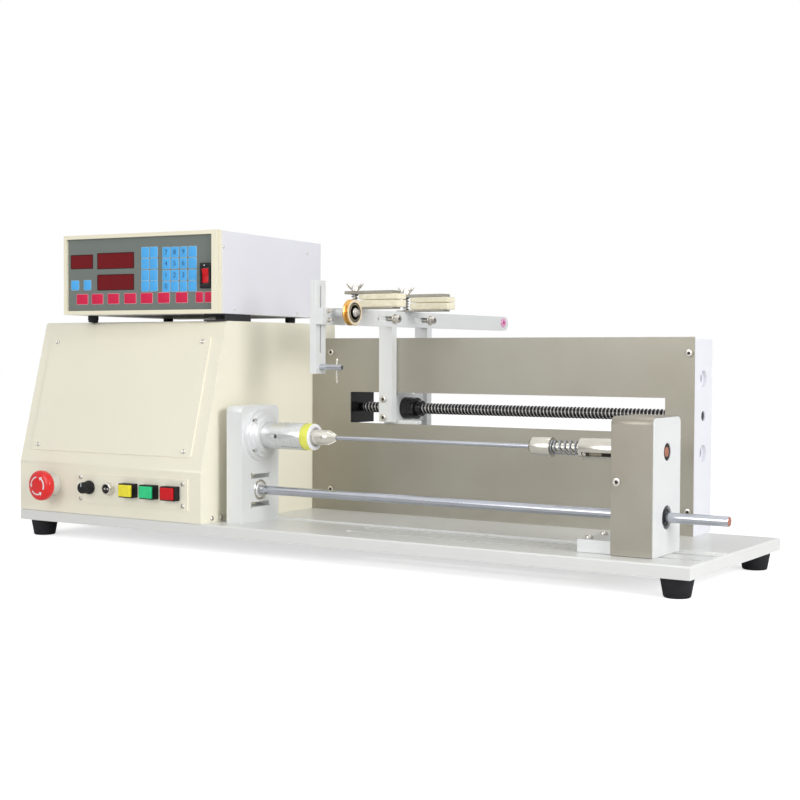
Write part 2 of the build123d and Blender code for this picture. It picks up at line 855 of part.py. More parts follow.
rocker_frame = Plane(
    origin=box_frame.from_local_coords((rocker_x, keypad_recess + rocker_proud,
                                        rocker_centre_height)),
    x_dir=box_frame.x_dir,
    z_dir=box_frame.z_dir.rotate(Axis(box_frame.origin, box_frame.x_dir), rocker_tilt),
)
with BuildPart() as rocker_switch:
    half = rocker_height / 2 - 2 * body_gap
    with BuildSketch(Plane(origin=rocker_frame.origin - rocker_frame.x_dir * rocker_width / 2,
                           x_dir=rocker_frame.y_dir, z_dir=rocker_frame.x_dir)):
        with BuildLine():
            Polyline((-rocker_proud, 0), (-2 * rocker_proud, half), (0, half), (rocker_proud, 0),
                     (0, -half), (-2 * rocker_proud, -half), close=True)
        make_face()
    extrude(amount=rocker_width)
save(rocker_switch, "rocker_switch")


# ---- Headstock ----
def rounded_upright(x, front, rear, low, high, corner):
    """An upright plate outline with its two top corners rounded."""
    with BuildSketch(across(x)) as outline:
        with Locations(((front + rear) / 2, (low + high) / 2)):
            Rectangle(rear - front, high - low)
        fillet(outline.vertices().group_by(Axis.Y)[-1], corner)
    return outline.sketch


block_z = around(shaft_height, block_height / 2)
bolt_x = headstock_start + headstock_thickness / 2
with BuildPart() as headstock_plate:
    extrude(rounded_upright(headstock_start, *headstock_span, 0, headstock_height,
                            headstock_corner), amount=headstock_thickness)
    bar((headstock_start, axis_y, spindle_height), RIGHT, headstock_thickness,
        spindle_bearing_radius, mode=Mode.SUBTRACT)
    block((headstock_start, headstock_end), around(axis_y, window_width / 2),
          (window_low, window_high), mode=Mode.SUBTRACT)
    for y in around(axis_y, window_width / 2):
        for z in (window_low, window_high):
            bar((headstock_start, y, z), RIGHT, headstock_thickness, 1.5, mode=Mode.SUBTRACT)
    for side in (-1, 1):
        bar((bolt_x, axis_y + side * headstock_bolt_offset, 0), UP, screw_grip, bolt_radius,
            mode=Mode.SUBTRACT)
    for y, z in flange_screws:
        bar((headstock_end, y, z), LEFT, screw_grip, small_screw_radius, mode=Mode.SUBTRACT)
save(headstock_plate, "headstock_plate")

with BuildPart() as shaft_bearing_block:
    block((headstock_start, headstock_end), around(axis_y, window_width / 2 - block_play),
          block_z)
    bar((headstock_start, axis_y, shaft_height), RIGHT, headstock_thickness,
        drive_shaft_radius + running_fit, mode=Mode.SUBTRACT)
    for x, way in ((headstock_start, RIGHT), (headstock_end, LEFT)):
        bar((x, axis_y, shaft_height), way, 1, shaft_bearing_radius, mode=Mode.SUBTRACT)
        bar((x, axis_y, shaft_height), way, 1, shaft_bearing_radius - bearing_ring_wall)
        bar((x, axis_y, shaft_height), way, 1, drive_shaft_radius + running_fit,
            mode=Mode.SUBTRACT)
save(shaft_bearing_block, "shaft_bearing_block")

with BuildPart() as spindle_flange:
    for step in range(flange_steps):
        bar((headstock_end + step * flange_step_height, axis_y, spindle_height), RIGHT,
            flange_step_height, flange_radius - step * flange_step_in)
    bar((headstock_start, axis_y, spindle_height), RIGHT, headstock_thickness,
        spindle_bearing_radius)
    bar((headstock_start, axis_y, spindle_height), RIGHT, headstock_thickness,
        journal_radius + running_fit, mode=Mode.SUBTRACT)
    bar((headstock_end, axis_y, spindle_height), RIGHT, flange_steps * flange_step_height,
        collar_radius + body_gap, mode=Mode.SUBTRACT)
    for y, z in flange_screws:
        bar((headstock_end, y, z), RIGHT, flange_steps * flange_step_height, small_head_radius,
            mode=Mode.SUBTRACT)
save(spindle_flange, "spindle_flange")


# ---- Spindle with its two pulleys, colour ring, collet chuck and mandrel ----
def pulley(x, y, z):
    """A toothed-belt pulley with a flange on each side."""
    bar((x, y, z), RIGHT, belt_width + 2 * belt_side_play, pulley_radius)
    for start in (x, x + belt_width + belt_side_play):
        bar((start, y, z), RIGHT, belt_side_play, pulley_radius + belt_thickness + 1)


with BuildPart() as spindle:
    bar((spindle_left, axis_y, spindle_height), RIGHT, headstock_end - spindle_left,
        journal_radius)
    bar((headstock_end, axis_y, spindle_height), RIGHT, nose_start - headstock_end, collar_radius)
    bar((nose_start, axis_y, spindle_height), RIGHT, nose_end - nose_start, nose_radius)
    bar((nose_end, axis_y, spindle_height), RIGHT, ring_length, ring_bore_radius)
    bar((chuck_start, axis_y, spindle_height), LEFT, chuck_shank_length, chuck_shank_radius,
        mode=Mode.SUBTRACT)
    for way in (FRONT, BACK, UP, DOWN):
        place = (nose_start + nose_hole_inset, axis_y, spindle_height)
        bar(moved(place, way, nose_radius - nose_hole_depth), way, 2 * nose_hole_depth,
            nose_hole_radius, mode=Mode.SUBTRACT)
    pulley(spindle_pulley_x, axis_y, spindle_height)
    pulley(motor_belt_x, axis_y, spindle_height)
save(spindle, "spindle")

with BuildPart() as spindle_ring:
    bar((nose_end, axis_y, spindle_height), RIGHT, ring_length, ring_radius)
    bar((nose_end, axis_y, spindle_height), RIGHT, ring_length, ring_bore_radius,
        mode=Mode.SUBTRACT)
save(spindle_ring, "spindle_ring")

with BuildPart() as collet_chuck:
    bar((chuck_start, axis_y, spindle_height), LEFT, chuck_shank_length, chuck_shank_radius)
    bar((chuck_start, axis_y, spindle_height), RIGHT, chuck_straight, chuck_radius)
    bar((chuck_start + chuck_straight, axis_y, spindle_height), RIGHT,
        chuck_length - chuck_straight, chuck_radius, tip=chuck_tip_radius)
    bar((chuck_end, axis_y, spindle_height), LEFT, chuck_length, mandrel_radius,
        mode=Mode.SUBTRACT)
save(collet_chuck, "collet_chuck")

with BuildPart() as mandrel_rod:
    bar((chuck_start, axis_y, spindle_height), RIGHT, cup_start + mandrel_seat - chuck_start,
        mandrel_radius)
    chamfer(mandrel_rod.faces().sort_by(Axis.X)[-1].edges(), mandrel_radius / 4)
save(mandrel_rod, "mandrel_rod")

with BuildPart() as drive_shaft:
    bar((spindle_left, axis_y, shaft_height), RIGHT,
        base_length + drive_shaft_overhang - spindle_left, drive_shaft_radius)
    chamfer(drive_shaft.faces().sort_by(Axis.X)[-1].edges(), shaft_end_chamfer)
    pulley(spindle_pulley_x, axis_y, shaft_height)
save(drive_shaft, "drive_shaft")


# ---- Motors and belts ----
with BuildPart() as drive_motors:
    bar((motor_end, motor_y, motor_height), LEFT, motor_length, motor_radius)
    bar((motor_end, motor_y, motor_height), LEFT, motor_length, motor_shaft_radius + running_fit,
        mode=Mode.SUBTRACT)
    block((motor_end - motor_length, motor_end), around(motor_y, motor_foot_width / 2),
          (0, motor_height - motor_radius * cos(radians(45))))
    block((left_plate_start - stepper_length, left_plate_start),
          around(rail_depth, stepper_size / 2), around(screw_height, stepper_size / 2))
    bar((left_plate_start, rail_depth, screw_height), LEFT, stepper_length / 2,
        lead_screw_journal_radius + running_fit, mode=Mode.SUBTRACT)
save(drive_motors, "drive_motors")

with BuildPart() as motor_pulley:
    bar((motor_end - motor_length / 2, motor_y, motor_height), RIGHT,
        motor_length / 2 + motor_belt_x - motor_end, motor_shaft_radius)
    pulley(motor_belt_x, motor_y, motor_height)
save(motor_pulley, "motor_pulley")


def belt_loop(x, first, second):
    """A flat belt's loop round two pulleys of the same size."""
    distance = hypot(second[0] - first[0], second[1] - first[1])
    turn = degrees(atan2(second[1] - first[1], second[0] - first[0]))
    inner = 2 * (pulley_radius + belt_gap)
    with BuildSketch(across(x)) as loop:
        with Locations(((first[0] + second[0]) / 2, (first[1] + second[1]) / 2)):
            SlotCenterToCenter(distance, inner + 2 * belt_thickness, rotation=turn)
            SlotCenterToCenter(distance, inner, rotation=turn, mode=Mode.SUBTRACT)
    return loop.sketch


with BuildPart() as drive_belts:
    extrude(belt_loop(spindle_pulley_x + belt_side_play, (axis_y, shaft_height),
                      (axis_y, spindle_height)), amount=belt_width)
    extrude(belt_loop(motor_belt_x + belt_side_play, (axis_y, spindle_height),
                      (motor_y, motor_height)), amount=belt_width)
save(drive_belts, "drive_belts")


# ---- Traverse unit behind the stainless panel ----
with BuildPart() as traverse_back_panel:
    block((panel_start, traverse_end), (panel_front, traverse_back), (0, panel_height))
    block((slot_start_x, slot_end_x), (panel_front, traverse_back), (slot_low, slot_high),
          mode=Mode.SUBTRACT)
    for x, z in panel_screws:
        bar((x, panel_front, z), BACK, panel_gauge, screw_radius, mode=Mode.SUBTRACT)
save(traverse_back_panel, "traverse_back_panel")

with BuildPart() as traverse_end_plates:
    for x in (left_plate_start, right_plate_start):
        block((x, x + end_plate_thickness), (traverse_back, traverse_back + end_plate_depth),
              (0, end_plate_height))
    for z in rail_heights:
        bar((left_plate_start, rail_depth, z), RIGHT, traverse_end - left_plate_start,
            rail_radius, mode=Mode.SUBTRACT)
        bar((traverse_end, rail_depth, z), LEFT, rail_recess_depth, rail_recess_radius,
            mode=Mode.SUBTRACT)
    bar((left_plate_start, rail_depth, screw_height), RIGHT, end_plate_thickness,
        lead_screw_journal_radius + running_fit, mode=Mode.SUBTRACT)
    bar((right_plate_start, rail_depth, screw_height), RIGHT, end_plate_thickness,
        lead_screw_root_radius + running_fit, mode=Mode.SUBTRACT)
    for x, z in panel_screws:
        bar((x, traverse_back, z), BACK, screw_grip, screw_radius, mode=Mode.SUBTRACT)
save(traverse_end_plates, "traverse_end_plates")

with BuildPart() as screw_support_block:
    support_start = left_plate_start + end_plate_thickness
    block((support_start, support_start + support_depth),
          (traverse_back, traverse_back + end_plate_depth),
          around(screw_height, support_height / 2))
    bar((support_start, rail_depth, screw_height), RIGHT, support_depth,
        lead_screw_journal_radius + running_fit, mode=Mode.SUBTRACT)
save(screw_support_block, "screw_support_block")

with BuildPart() as traverse_guide_rods:
    for z in rail_heights:
        bar((left_plate_start, rail_depth, z), RIGHT,
            traverse_end - rail_recess_depth - left_plate_start, rail_radius)
save(traverse_guide_rods, "traverse_guide_rods")

with BuildPart() as lead_screw:
    thread_count = int((thread_end - thread_start) // lead_screw_pitch)
    flank = lead_screw_radius - lead_screw_root_radius
    crest = lead_screw_pitch * thread_gap_share - flank
    with BuildSketch(Plane(origin=base_frame.from_local_coords((0, rail_depth, screw_height)),
                           z_dir=FRONT, x_dir=RIGHT)):
        with BuildLine():
            outline = [(left_plate_start - stepper_length / 2, 0),
                       (left_plate_start - stepper_length / 2, lead_screw_journal_radius),
                       (thread_start, lead_screw_journal_radius),
                       (thread_start, lead_screw_root_radius)]
            for turn in range(thread_count):
                rise = thread_start + lead_screw_pitch * (turn + thread_gap_share / 2)
                outline += [(rise, lead_screw_root_radius),
                            (rise + flank, lead_screw_radius),
                            (rise + flank + crest, lead_screw_radius),
                            (rise + 2 * flank + crest, lead_screw_root_radius)]
            outline += [(traverse_end - 1, lead_screw_root_radius), (traverse_end - 1, 0)]
            Polyline(*outline, close=True)
        make_face()
    revolve(axis=Axis(base_frame.from_local_coords((0, rail_depth, screw_height)), RIGHT))
save(lead_screw, "lead_screw")


# ---- Carriage: block on the rails, nut, posts and the long arm ----
with BuildPart() as carriage_block:
    block((carriage_start, carriage_end), around(rail_depth, carriage_depth / 2),
          (rail_heights[0] - carriage_margin, rail_heights[1] + carriage_margin))
    block((tongue_start, carriage_end), (front_post_front + post_depth, rail_depth),
          (tongue_low, tongue_high))
    block((tongue_start, carriage_end), (rail_depth, rear_post_front), (tongue_low, tongue_high))
    block((tongue_start, carriage_end + flag_length),
          (traverse_back + body_gap, traverse_back + body_gap + flag_depth),
          (slot_low, slot_low + flag_thickness))
    for z in rail_heights:
        bar((carriage_start, rail_depth, z), RIGHT, carriage_thickness,
            rail_radius + running_fit, mode=Mode.SUBTRACT)
    bar((carriage_start, rail_depth, screw_height), RIGHT, carriage_thickness,
        lead_screw_radius + 2 * body_gap, mode=Mode.SUBTRACT)
    for front, way in ((front_post_front + post_depth, BACK), (rear_post_front, FRONT)):
        for z in around((tongue_low + tongue_high) / 2, 12):
            bar((tongue_start + post_width / 2 - 2, front, z), way, screw_grip, screw_radius,
                mode=Mode.SUBTRACT)
save(carriage_block, "carriage_block")

with BuildPart() as lead_screw_nut:
    bar((carriage_end, rail_depth, screw_height), RIGHT, nut_length, nut_radius)
    bar((carriage_end + nut_length, rail_depth, screw_height), RIGHT, nut_collar_length,
        nut_collar_radius)
    bar((carriage_end, rail_depth, screw_height), RIGHT, nut_length + nut_collar_length,
        lead_screw_radius + nut_play, mode=Mode.SUBTRACT)
save(lead_screw_nut, "lead_screw_nut")

with BuildPart() as carriage_posts:
    for front, low in zip(post_fronts, (front_post_low, rear_post_low)):
        block((tongue_start, post_end), (front, front + post_depth), (low, arm_low))
        block((tongue_start, arm_start), (front, front + post_depth), (arm_low, arm_top))
        bar((tongue_start, front + post_depth / 2, bolt_height), RIGHT, post_tongue, bolt_radius,
            mode=Mode.SUBTRACT)
        for z in around((tongue_low + tongue_high) / 2, 12):
            bar((tongue_start + post_width / 2 - 2, front, z), BACK, post_depth, screw_radius,
                mode=Mode.SUBTRACT)
save(carriage_posts, "carriage_posts")

with BuildPart() as guide_arm:
    with BuildSketch(across(arm_start)) as arm_outline:
        with Locations(((arm_front + arm_rear) / 2, arm_low + arm_height / 2)):
            Rectangle(arm_rear - arm_front, arm_height)
        fillet(arm_outline.vertices().group_by(Axis.X)[-1], arm_height / 2 - 0.5)
        for centre in slot_centres:
            with Locations((centre, bolt_height)):
                SlotOverall(arm_slot_length, arm_slot_height, mode=Mode.SUBTRACT)
        with Locations((eyelet_y, eyelet_height)):
            Circle(eyelet_radius, mode=Mode.SUBTRACT)
        with Locations((wheel_y, wheel_height)):
            Circle(wheel_axle_radius, mode=Mode.SUBTRACT)
        with Locations((guide_slot_y, clamp_screw_low), (guide_slot_y, clamp_screw_high)):
            Circle(small_screw_radius - 0.1, mode=Mode.SUBTRACT)
    extrude(amount=arm_thickness)
    for y in tensioner_places:
        bar((stud_x, y, arm_top - stud_depth), UP, stud_depth, stud_radius, mode=Mode.SUBTRACT)
save(guide_arm, "guide_arm")

with BuildPart() as wire_eyelet:
    bar((arm_start - eyelet_lip, eyelet_y, eyelet_height), RIGHT, arm_thickness + 2 * eyelet_lip,
        eyelet_radius)
    for x in (arm_start - eyelet_lip, arm_end):
        bar((x, eyelet_y, eyelet_height), RIGHT, eyelet_lip, eyelet_lip_radius)
    bar((arm_start - eyelet_lip, eyelet_y, eyelet_height), RIGHT, arm_thickness + 2 * eyelet_lip,
        eyelet_bore_radius, mode=Mode.SUBTRACT)
save(wire_eyelet, "wire_eyelet")

with BuildPart() as arm_hardware:
    for front in post_fronts:
        centre = front + post_depth / 2
        bar((tongue_start, centre, bolt_height), LEFT, bolt_head_height, bolt_head_radius)
        bar((tongue_start, centre, bolt_height), RIGHT, arm_end + bolt_overhang - tongue_start,
            bolt_radius)
        bar((arm_end, centre, bolt_height), RIGHT, bolt_head_height, bolt_head_radius + 1)
    for z in (clamp_screw_low, clamp_screw_high):
        head_start = arm_start - 2 * felt_gap - guide_plate_thickness
        bar((head_start, guide_slot_y, z), LEFT, clamp_head_height, small_head_radius)
        bar((head_start, guide_slot_y, z), RIGHT, arm_end + clamp_screw_overhang - head_start,
            small_screw_radius - 0.1)
    for y in tensioner_places:
        bar((stud_x, y, arm_top - stud_depth), UP, stud_top - arm_top + stud_depth, stud_radius)
        block((plate_start, plate_end), around(y, plate_width / 2),
              (arm_top, arm_top + lower_plate_thickness))
    bar((arm_start - bolt_head_height, wheel_y, wheel_height), RIGHT,
        wheel_end + wheel_axle_overhang - arm_start + bolt_head_height, wheel_axle_radius)
    bar((arm_start, wheel_y, wheel_height), LEFT, bolt_head_height, bolt_head_radius)
    bar((arm_end, wheel_y, wheel_height), RIGHT, wheel_start - arm_end + wheel_rim,
        wheel_spacer_radius)
    bar((wheel_start + wheel_rim, wheel_y, wheel_height), RIGHT, wheel_width - 2 * wheel_rim,
        wheel_hub_radius - running_fit)
    for front, way in zip(post_fronts, (1, -1)):
        face = front if way > 0 else front + post_depth
        for z in around((tongue_low + tongue_high) / 2, 12):
            screw((tongue_start + post_width / 2 - 2, face, z), (0, way, 0),
                  post_depth + screw_grip, screw_radius, head_radius, head_height)
save(arm_hardware, "arm_hardware")

with BuildPart() as guide_pulley:
    with BuildSketch(Plane(origin=base_frame.from_local_coords((0, wheel_y, wheel_height)),
                           z_dir=FRONT, x_dir=RIGHT)):
        with BuildLine():
            Polyline((wheel_start, wheel_hub_radius), (wheel_start, wheel_radius),
                     (wheel_start + wheel_rim, wheel_radius),
                     (wheel_start + wheel_width / 2, wheel_groove_radius),
                     (wheel_end - wheel_rim, wheel_radius), (wheel_end, wheel_radius),
                     (wheel_end, wheel_hub_radius), close=True)
        make_face()
    revolve(axis=Axis(base_frame.from_local_coords((0, wheel_y, wheel_height)), RIGHT))
save(guide_pulley, "guide_pulley")


# ---- Slotted guide plate with the wire tip ----
guide_plate_end = arm_start - felt_gap
needle_x = guide_plate_end + tip_length - needle_inset
with BuildPart() as wire_guide_plate:
    block((guide_plate_end - guide_plate_thickness, guide_plate_end),
          (arm_front, arm_front + guide_plate_width), (guide_plate_low, guide_plate_high))
    block((guide_plate_end - guide_plate_thickness, guide_plate_end),
          around(guide_slot_y, guide_slot_width / 2), (guide_slot_low, guide_slot_high),
          mode=Mode.SUBTRACT)
save(wire_guide_plate, "wire_guide_plate")

with BuildPart() as wire_guide_tip:
    bar((guide_plate_end, guide_slot_y, tip_height), RIGHT, tip_length, tip_radius)
    bar((needle_x, guide_slot_y, needle_low), UP, needle_high - needle_low, needle_radius)
    bar((needle_x, guide_slot_y, needle_low), UP, needle_high - needle_low, needle_bore_radius,
        mode=Mode.SUBTRACT)
save(wire_guide_tip, "wire_guide_tip")


# ---- Felt tensioners: fixed lower felts, sprung upper plates, wing nuts ----
with BuildPart() as lower_felts:
    for y in tensioner_places:
        block((felt_start, felt_end), around(y, felt_width / 2),
              (arm_top + lower_plate_thickness, lower_felt_top))
    fillet(lower_felts.edges().filter_by(Axis.Z), felt_round)
save(lower_felts, "lower_felts")

for label, y in zip(("front", "rear"), tensioner_places):
    with BuildPart() as upper_felt:
        block((felt_start, felt_end), around(y, felt_width / 2),
              (lower_felt_top + felt_gap, upper_plate_low))
        fillet(upper_felt.edges().filter_by(Axis.Z), felt_round)
    save(upper_felt, f"{label}_upper_felt")

    with BuildPart() as pressure_plate:
        block((plate_start, plate_end), around(y, plate_width / 2),
              (upper_plate_low, upper_plate_top))
        bar((stud_x, y, upper_plate_low), UP, upper_plate_thickness, stud_radius + body_gap,
            mode=Mode.SUBTRACT)
    save(pressure_plate, f"{label}_pressure_plate")

    with BuildPart() as wing_nut:
        nut_low = upper_plate_top + felt_gap
        bar((stud_x, y, nut_low), UP, wing_hub_height, wing_hub_radius,
            tip=wing_hub_radius - 0.8)
        block(around(stud_x, wing_span / 2), around(y, wing_thickness / 2),
              (nut_low + 1, nut_low + wing_height))
        fillet(wing_nut.edges().filter_by(Axis.Y).group_by(Axis.Z)[-1], wing_corner)
        bar((stud_x, y, nut_low), UP, 2 * wing_height, stud_radius + 2 * running_fit,
            mode=Mode.SUBTRACT)
    save(wing_nut, f"{label}_wing_nut")

    with BuildPart() as tension_spring:
        with BuildLine() as spring_line:
            coil_spring(base_frame.from_local_coords((stud_x, y, arm_top + lower_plate_thickness)),
                        UP, FRONT, tension_wire, tension_coil_radius, tension_turns,
                        upper_plate_low - arm_top - lower_plate_thickness)
        path = spring_line.wires()[0]
        with BuildSketch(Plane(origin=path @ 0, z_dir=path % 0)):
            Circle(tension_wire / 2)
        sweep(path=path)
    report_gap(f"{label}_tension_spring", path, tension_wire, tension_turns)
    save(tension_spring, f"{label}_tension_spring")


# ---- Tailstock ----
with BuildPart() as tailstock_frame:
    plate_front = tail_span[0] + cover_sheet
    plate_rear = tail_span[1] - cover_sheet
    plate_top = tail_height - cover_sheet
    for x, thickness in ((tail_start, tail_plate_thickness),
                         (tail_inner_end, tail_end_plate_thickness)):
        extrude(rounded_upright(x, plate_front, plate_rear, tail_lift, plate_top,
                                headstock_corner - cover_sheet), amount=thickness)
    block((tail_start, tail_end), (plate_front, plate_rear), (tail_lift, tail_floor))
    block((tail_start - foot_block_length, tail_start), around(axis_y, foot_block_width / 2),
          (tail_lift, foot_block_height))
    bar((tail_start, axis_y, spindle_height), RIGHT, tail_end - tail_start,
        tail_journal_radius + running_fit, mode=Mode.SUBTRACT)
    bar((tail_start, axis_y, shaft_height), RIGHT, tail_end - tail_start, tail_hole_radius,
        mode=Mode.SUBTRACT)
    for y in slot_sides:
        bar((foot_screw_x, y, 0), UP, foot_block_height, screw_radius, mode=Mode.SUBTRACT)
    bar((tail_start + tail_plate_thickness / 2, plate_front, cover_screw_height), BACK,
        screw_grip, screw_radius, mode=Mode.SUBTRACT)
save(tailstock_frame, "tailstock_frame")

with BuildPart() as tailstock_cover:
    cover_length = tail_end - tail_start - 1
    extrude(rounded_upright(tail_start, *tail_span, tail_lift, tail_height, headstock_corner),
            amount=cover_length)
    extrude(rounded_upright(tail_start, plate_front, plate_rear, -tail_floor, plate_top,
                            headstock_corner - cover_sheet), amount=cover_length,
            mode=Mode.SUBTRACT)
    bar((tail_start + tail_plate_thickness / 2, tail_span[0], cover_screw_height), BACK,
        cover_sheet, screw_radius, mode=Mode.SUBTRACT)
save(tailstock_cover, "tailstock_cover")

with BuildPart() as tailstock_clamp:
    disc_top = -base_thickness - body_gap
    bar((foot_screw_x, axis_y, disc_top), DOWN, clamp_disc_height, clamp_disc_radius,
        tip=clamp_disc_tip_radius)
    for y in slot_sides:
        bar((foot_screw_x, y, disc_top), UP, foot_block_height - disc_top, screw_radius)
        bar((foot_screw_x, y, foot_block_height), UP, head_height, head_radius)
    screw((tail_start + tail_plate_thickness / 2, tail_span[0], cover_screw_height), BACK,
          cover_sheet + screw_grip, screw_radius, head_radius, head_height / 2)
save(tailstock_clamp, "tailstock_clamp")

with BuildPart() as tail_spindle:
    bar((barrel_start, axis_y, spindle_height), RIGHT, barrel_length - body_gap, barrel_radius)
    bar((tail_start - body_gap, axis_y, spindle_height), RIGHT,
        tail_end - tail_start - 1, tail_journal_radius)
    pulley(tail_pulley_x, axis_y, spindle_height)
    bar((barrel_start, axis_y, spindle_height), RIGHT, barrel_length + tail_plate_thickness,
        plunger_radius + running_fit, mode=Mode.SUBTRACT)
    block((key_x - key_radius - key_slot_play, tail_start - body_gap),
          around(0, key_slot_width / 2), (0, 2 * barrel_radius), frame=key_frame,
          mode=Mode.SUBTRACT)
save(tail_spindle, "tail_spindle")

with BuildPart() as tail_plunger:
    bar((cup_end, axis_y, spindle_height), RIGHT, plunger_length, plunger_radius)
    bar((cup_start, axis_y, spindle_height), RIGHT, cup_length, cup_radius)
    chamfer(tail_plunger.faces().sort_by(Axis.X)[0].edges(), cup_chamfer)
    bar((cup_start, axis_y, spindle_height), RIGHT, cup_bore_depth,
        mandrel_radius + cup_bore_play, mode=Mode.SUBTRACT)
    bar((cup_end - cup_screw_inset, axis_y, spindle_height), DOWN, cup_radius + 1,
        cup_screw_radius, mode=Mode.SUBTRACT)
    bar((key_x, 0, plunger_radius / 2), UP, barrel_radius - plunger_radius / 2 - body_gap,
        key_radius, frame=key_frame)
save(tail_plunger, "tail_plunger")

with BuildPart() as tail_spring:
    with BuildLine() as tail_spring_line:
        coil_spring(base_frame.from_local_coords((cup_end, axis_y, spindle_height)), RIGHT, UP,
                    tail_spring_wire, tail_spring_radius - tail_spring_wire / 2,
                    tail_spring_turns, barrel_start - cup_end)
    tail_spring_path = tail_spring_line.wires()[0]
    with BuildSketch(Plane(origin=tail_spring_path @ 0, z_dir=tail_spring_path % 0)):
        Circle(tail_spring_wire / 2)
    sweep(path=tail_spring_path)
report_gap("tail_spring", tail_spring_path, tail_spring_wire, tail_spring_turns)
save(tail_spring, "tail_spring")

with BuildPart() as tail_drive_pulley:
    pulley(tail_pulley_x, axis_y, shaft_height)
    bar((tail_pulley_x, axis_y, shaft_height), RIGHT, belt_width + 2 * belt_side_play,
        drive_shaft_radius + running_fit, mode=Mode.SUBTRACT)
save(tail_drive_pulley, "tail_drive_pulley")

with BuildPart() as tail_belt:
    extrude(belt_loop(tail_pulley_x + belt_side_play, (axis_y, shaft_height),
                      (axis_y, spindle_height)), amount=belt_width)
save(tail_belt, "tail_belt")


# ---- Screws that hold the frame, panels and boxes ----
with BuildPart() as frame_screws:
    for x, y in foot_places:
        screw((x, y, -base_thickness - foot_height + foot_recess_depth), UP,
              foot_height - foot_recess_depth + screw_grip, screw_radius, head_radius,
              head_height)
    for x, y in access_screws:
        screw((x, y, panel_thickness), DOWN, panel_thickness + sheet, small_screw_radius,
              small_head_radius, small_head_height, frame=slope_frame)
    for x, z in control_screws:
        screw((x, -panel_thickness, z), BACK, panel_thickness + sheet, small_screw_radius,
              small_head_radius, small_head_height)
    for y in side_screws:
        screw((housing_length, y, side_screw_height), LEFT, sheet, small_screw_radius,
              small_head_radius, small_head_height)
    for x, z in panel_screws:
        screw((x, panel_front, z), BACK, panel_gauge + screw_grip, screw_radius, head_radius,
              head_height)
    for y, z in flange_screws:
        screw((headstock_end, y, z), LEFT, screw_grip, small_screw_radius, small_head_radius,
              head_height)
    for side in (-1, 1):
        screw((bolt_x, axis_y + side * headstock_bolt_offset, -base_thickness), UP,
              base_thickness + screw_grip, bolt_radius, bolt_head_radius, bolt_head_height)
save(frame_screws, "frame_screws")
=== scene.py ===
import json
from math import atan2, cos, pi, radians, sin, tau

import bmesh
import bpy
from mathutils import Matrix, Vector

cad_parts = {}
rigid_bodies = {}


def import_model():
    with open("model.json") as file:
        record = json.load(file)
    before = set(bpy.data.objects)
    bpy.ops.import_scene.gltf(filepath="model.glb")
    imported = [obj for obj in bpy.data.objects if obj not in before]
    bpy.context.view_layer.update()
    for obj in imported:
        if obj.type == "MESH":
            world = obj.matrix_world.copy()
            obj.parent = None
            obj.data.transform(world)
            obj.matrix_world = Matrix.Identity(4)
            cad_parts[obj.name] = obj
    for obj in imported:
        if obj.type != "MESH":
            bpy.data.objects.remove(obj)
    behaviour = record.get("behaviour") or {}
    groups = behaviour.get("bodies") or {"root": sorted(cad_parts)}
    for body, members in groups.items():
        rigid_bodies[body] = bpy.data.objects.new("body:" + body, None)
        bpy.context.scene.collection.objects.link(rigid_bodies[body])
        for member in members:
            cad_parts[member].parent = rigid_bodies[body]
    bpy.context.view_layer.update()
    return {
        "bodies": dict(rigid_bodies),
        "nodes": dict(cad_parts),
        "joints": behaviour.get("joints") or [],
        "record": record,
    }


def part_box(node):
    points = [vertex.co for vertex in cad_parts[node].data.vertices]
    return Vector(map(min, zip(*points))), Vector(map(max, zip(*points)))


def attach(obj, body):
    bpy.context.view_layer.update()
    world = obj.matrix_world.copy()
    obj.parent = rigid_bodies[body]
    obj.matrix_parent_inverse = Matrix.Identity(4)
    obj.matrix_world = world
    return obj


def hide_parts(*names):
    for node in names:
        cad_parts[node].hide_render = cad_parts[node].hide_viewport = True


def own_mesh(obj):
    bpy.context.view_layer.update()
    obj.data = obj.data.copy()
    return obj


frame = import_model()

# A wire coil winding machine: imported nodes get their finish, and plainer ones give way to
# modelled pieces. Lengths are millimetres from the base plate's front left upper corner.
MM = 0.001
low_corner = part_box("base_plate")[0]
ORIGIN = Vector((low_corner[0], low_corner[1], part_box("headstock_plate")[0][2]))
MACHINE = Matrix.Translation(ORIGIN) @ Matrix.Scale(MM, 4)
RIGHT, BACK, UP = (1, 0, 0), (0, 1, 0), (0, 0, 1)
LEFT, FRONT, DOWN = (-1, 0, 0), (0, -1, 0), (0, 0, -1)


def place(origin, z_dir, x_dir=RIGHT, base=MACHINE):
    """A frame in millimetres at an origin of another frame, with its own z and x directions."""
    z = Vector(z_dir).normalized()
    x = Vector(x_dir)
    if abs(x.normalized().dot(z)) > 0.99:
        x = Vector(UP) if abs(z.z) < 0.9 else Vector(BACK)
    x = (x - z * x.dot(z)).normalized()
    turn = Matrix((x, z.cross(x), z)).transposed().to_4x4()
    return base @ Matrix.Translation(origin) @ turn


# The housing: its sloping front, and its panel with one row of controls.
SLOPE_FOOT, SLOPE_TOP, SLOPE_DEPTH = 64.6, 252.9, 49.3
SLOPE_LEAN = atan2(SLOPE_DEPTH, SLOPE_TOP - SLOPE_FOOT)
SLOPE = place((0, 0, SLOPE_FOOT), (0, -cos(SLOPE_LEAN), sin(SLOPE_LEAN)))
HOUSING_END = 320.5
PANEL_Y, CONTROL_Z = -1.5, 36
PUSH_BUTTONS = {"yellow": 204.4, "green": 239.9, "red": 275.4}
# The controller box stands a little askew on the housing.
YAW = radians(5.6)
BOX = place((78.3, 4.7, 262), UP, (cos(YAW), sin(YAW), 0))
BOX_WIDTH, BEZEL_FRONT = 245, 4
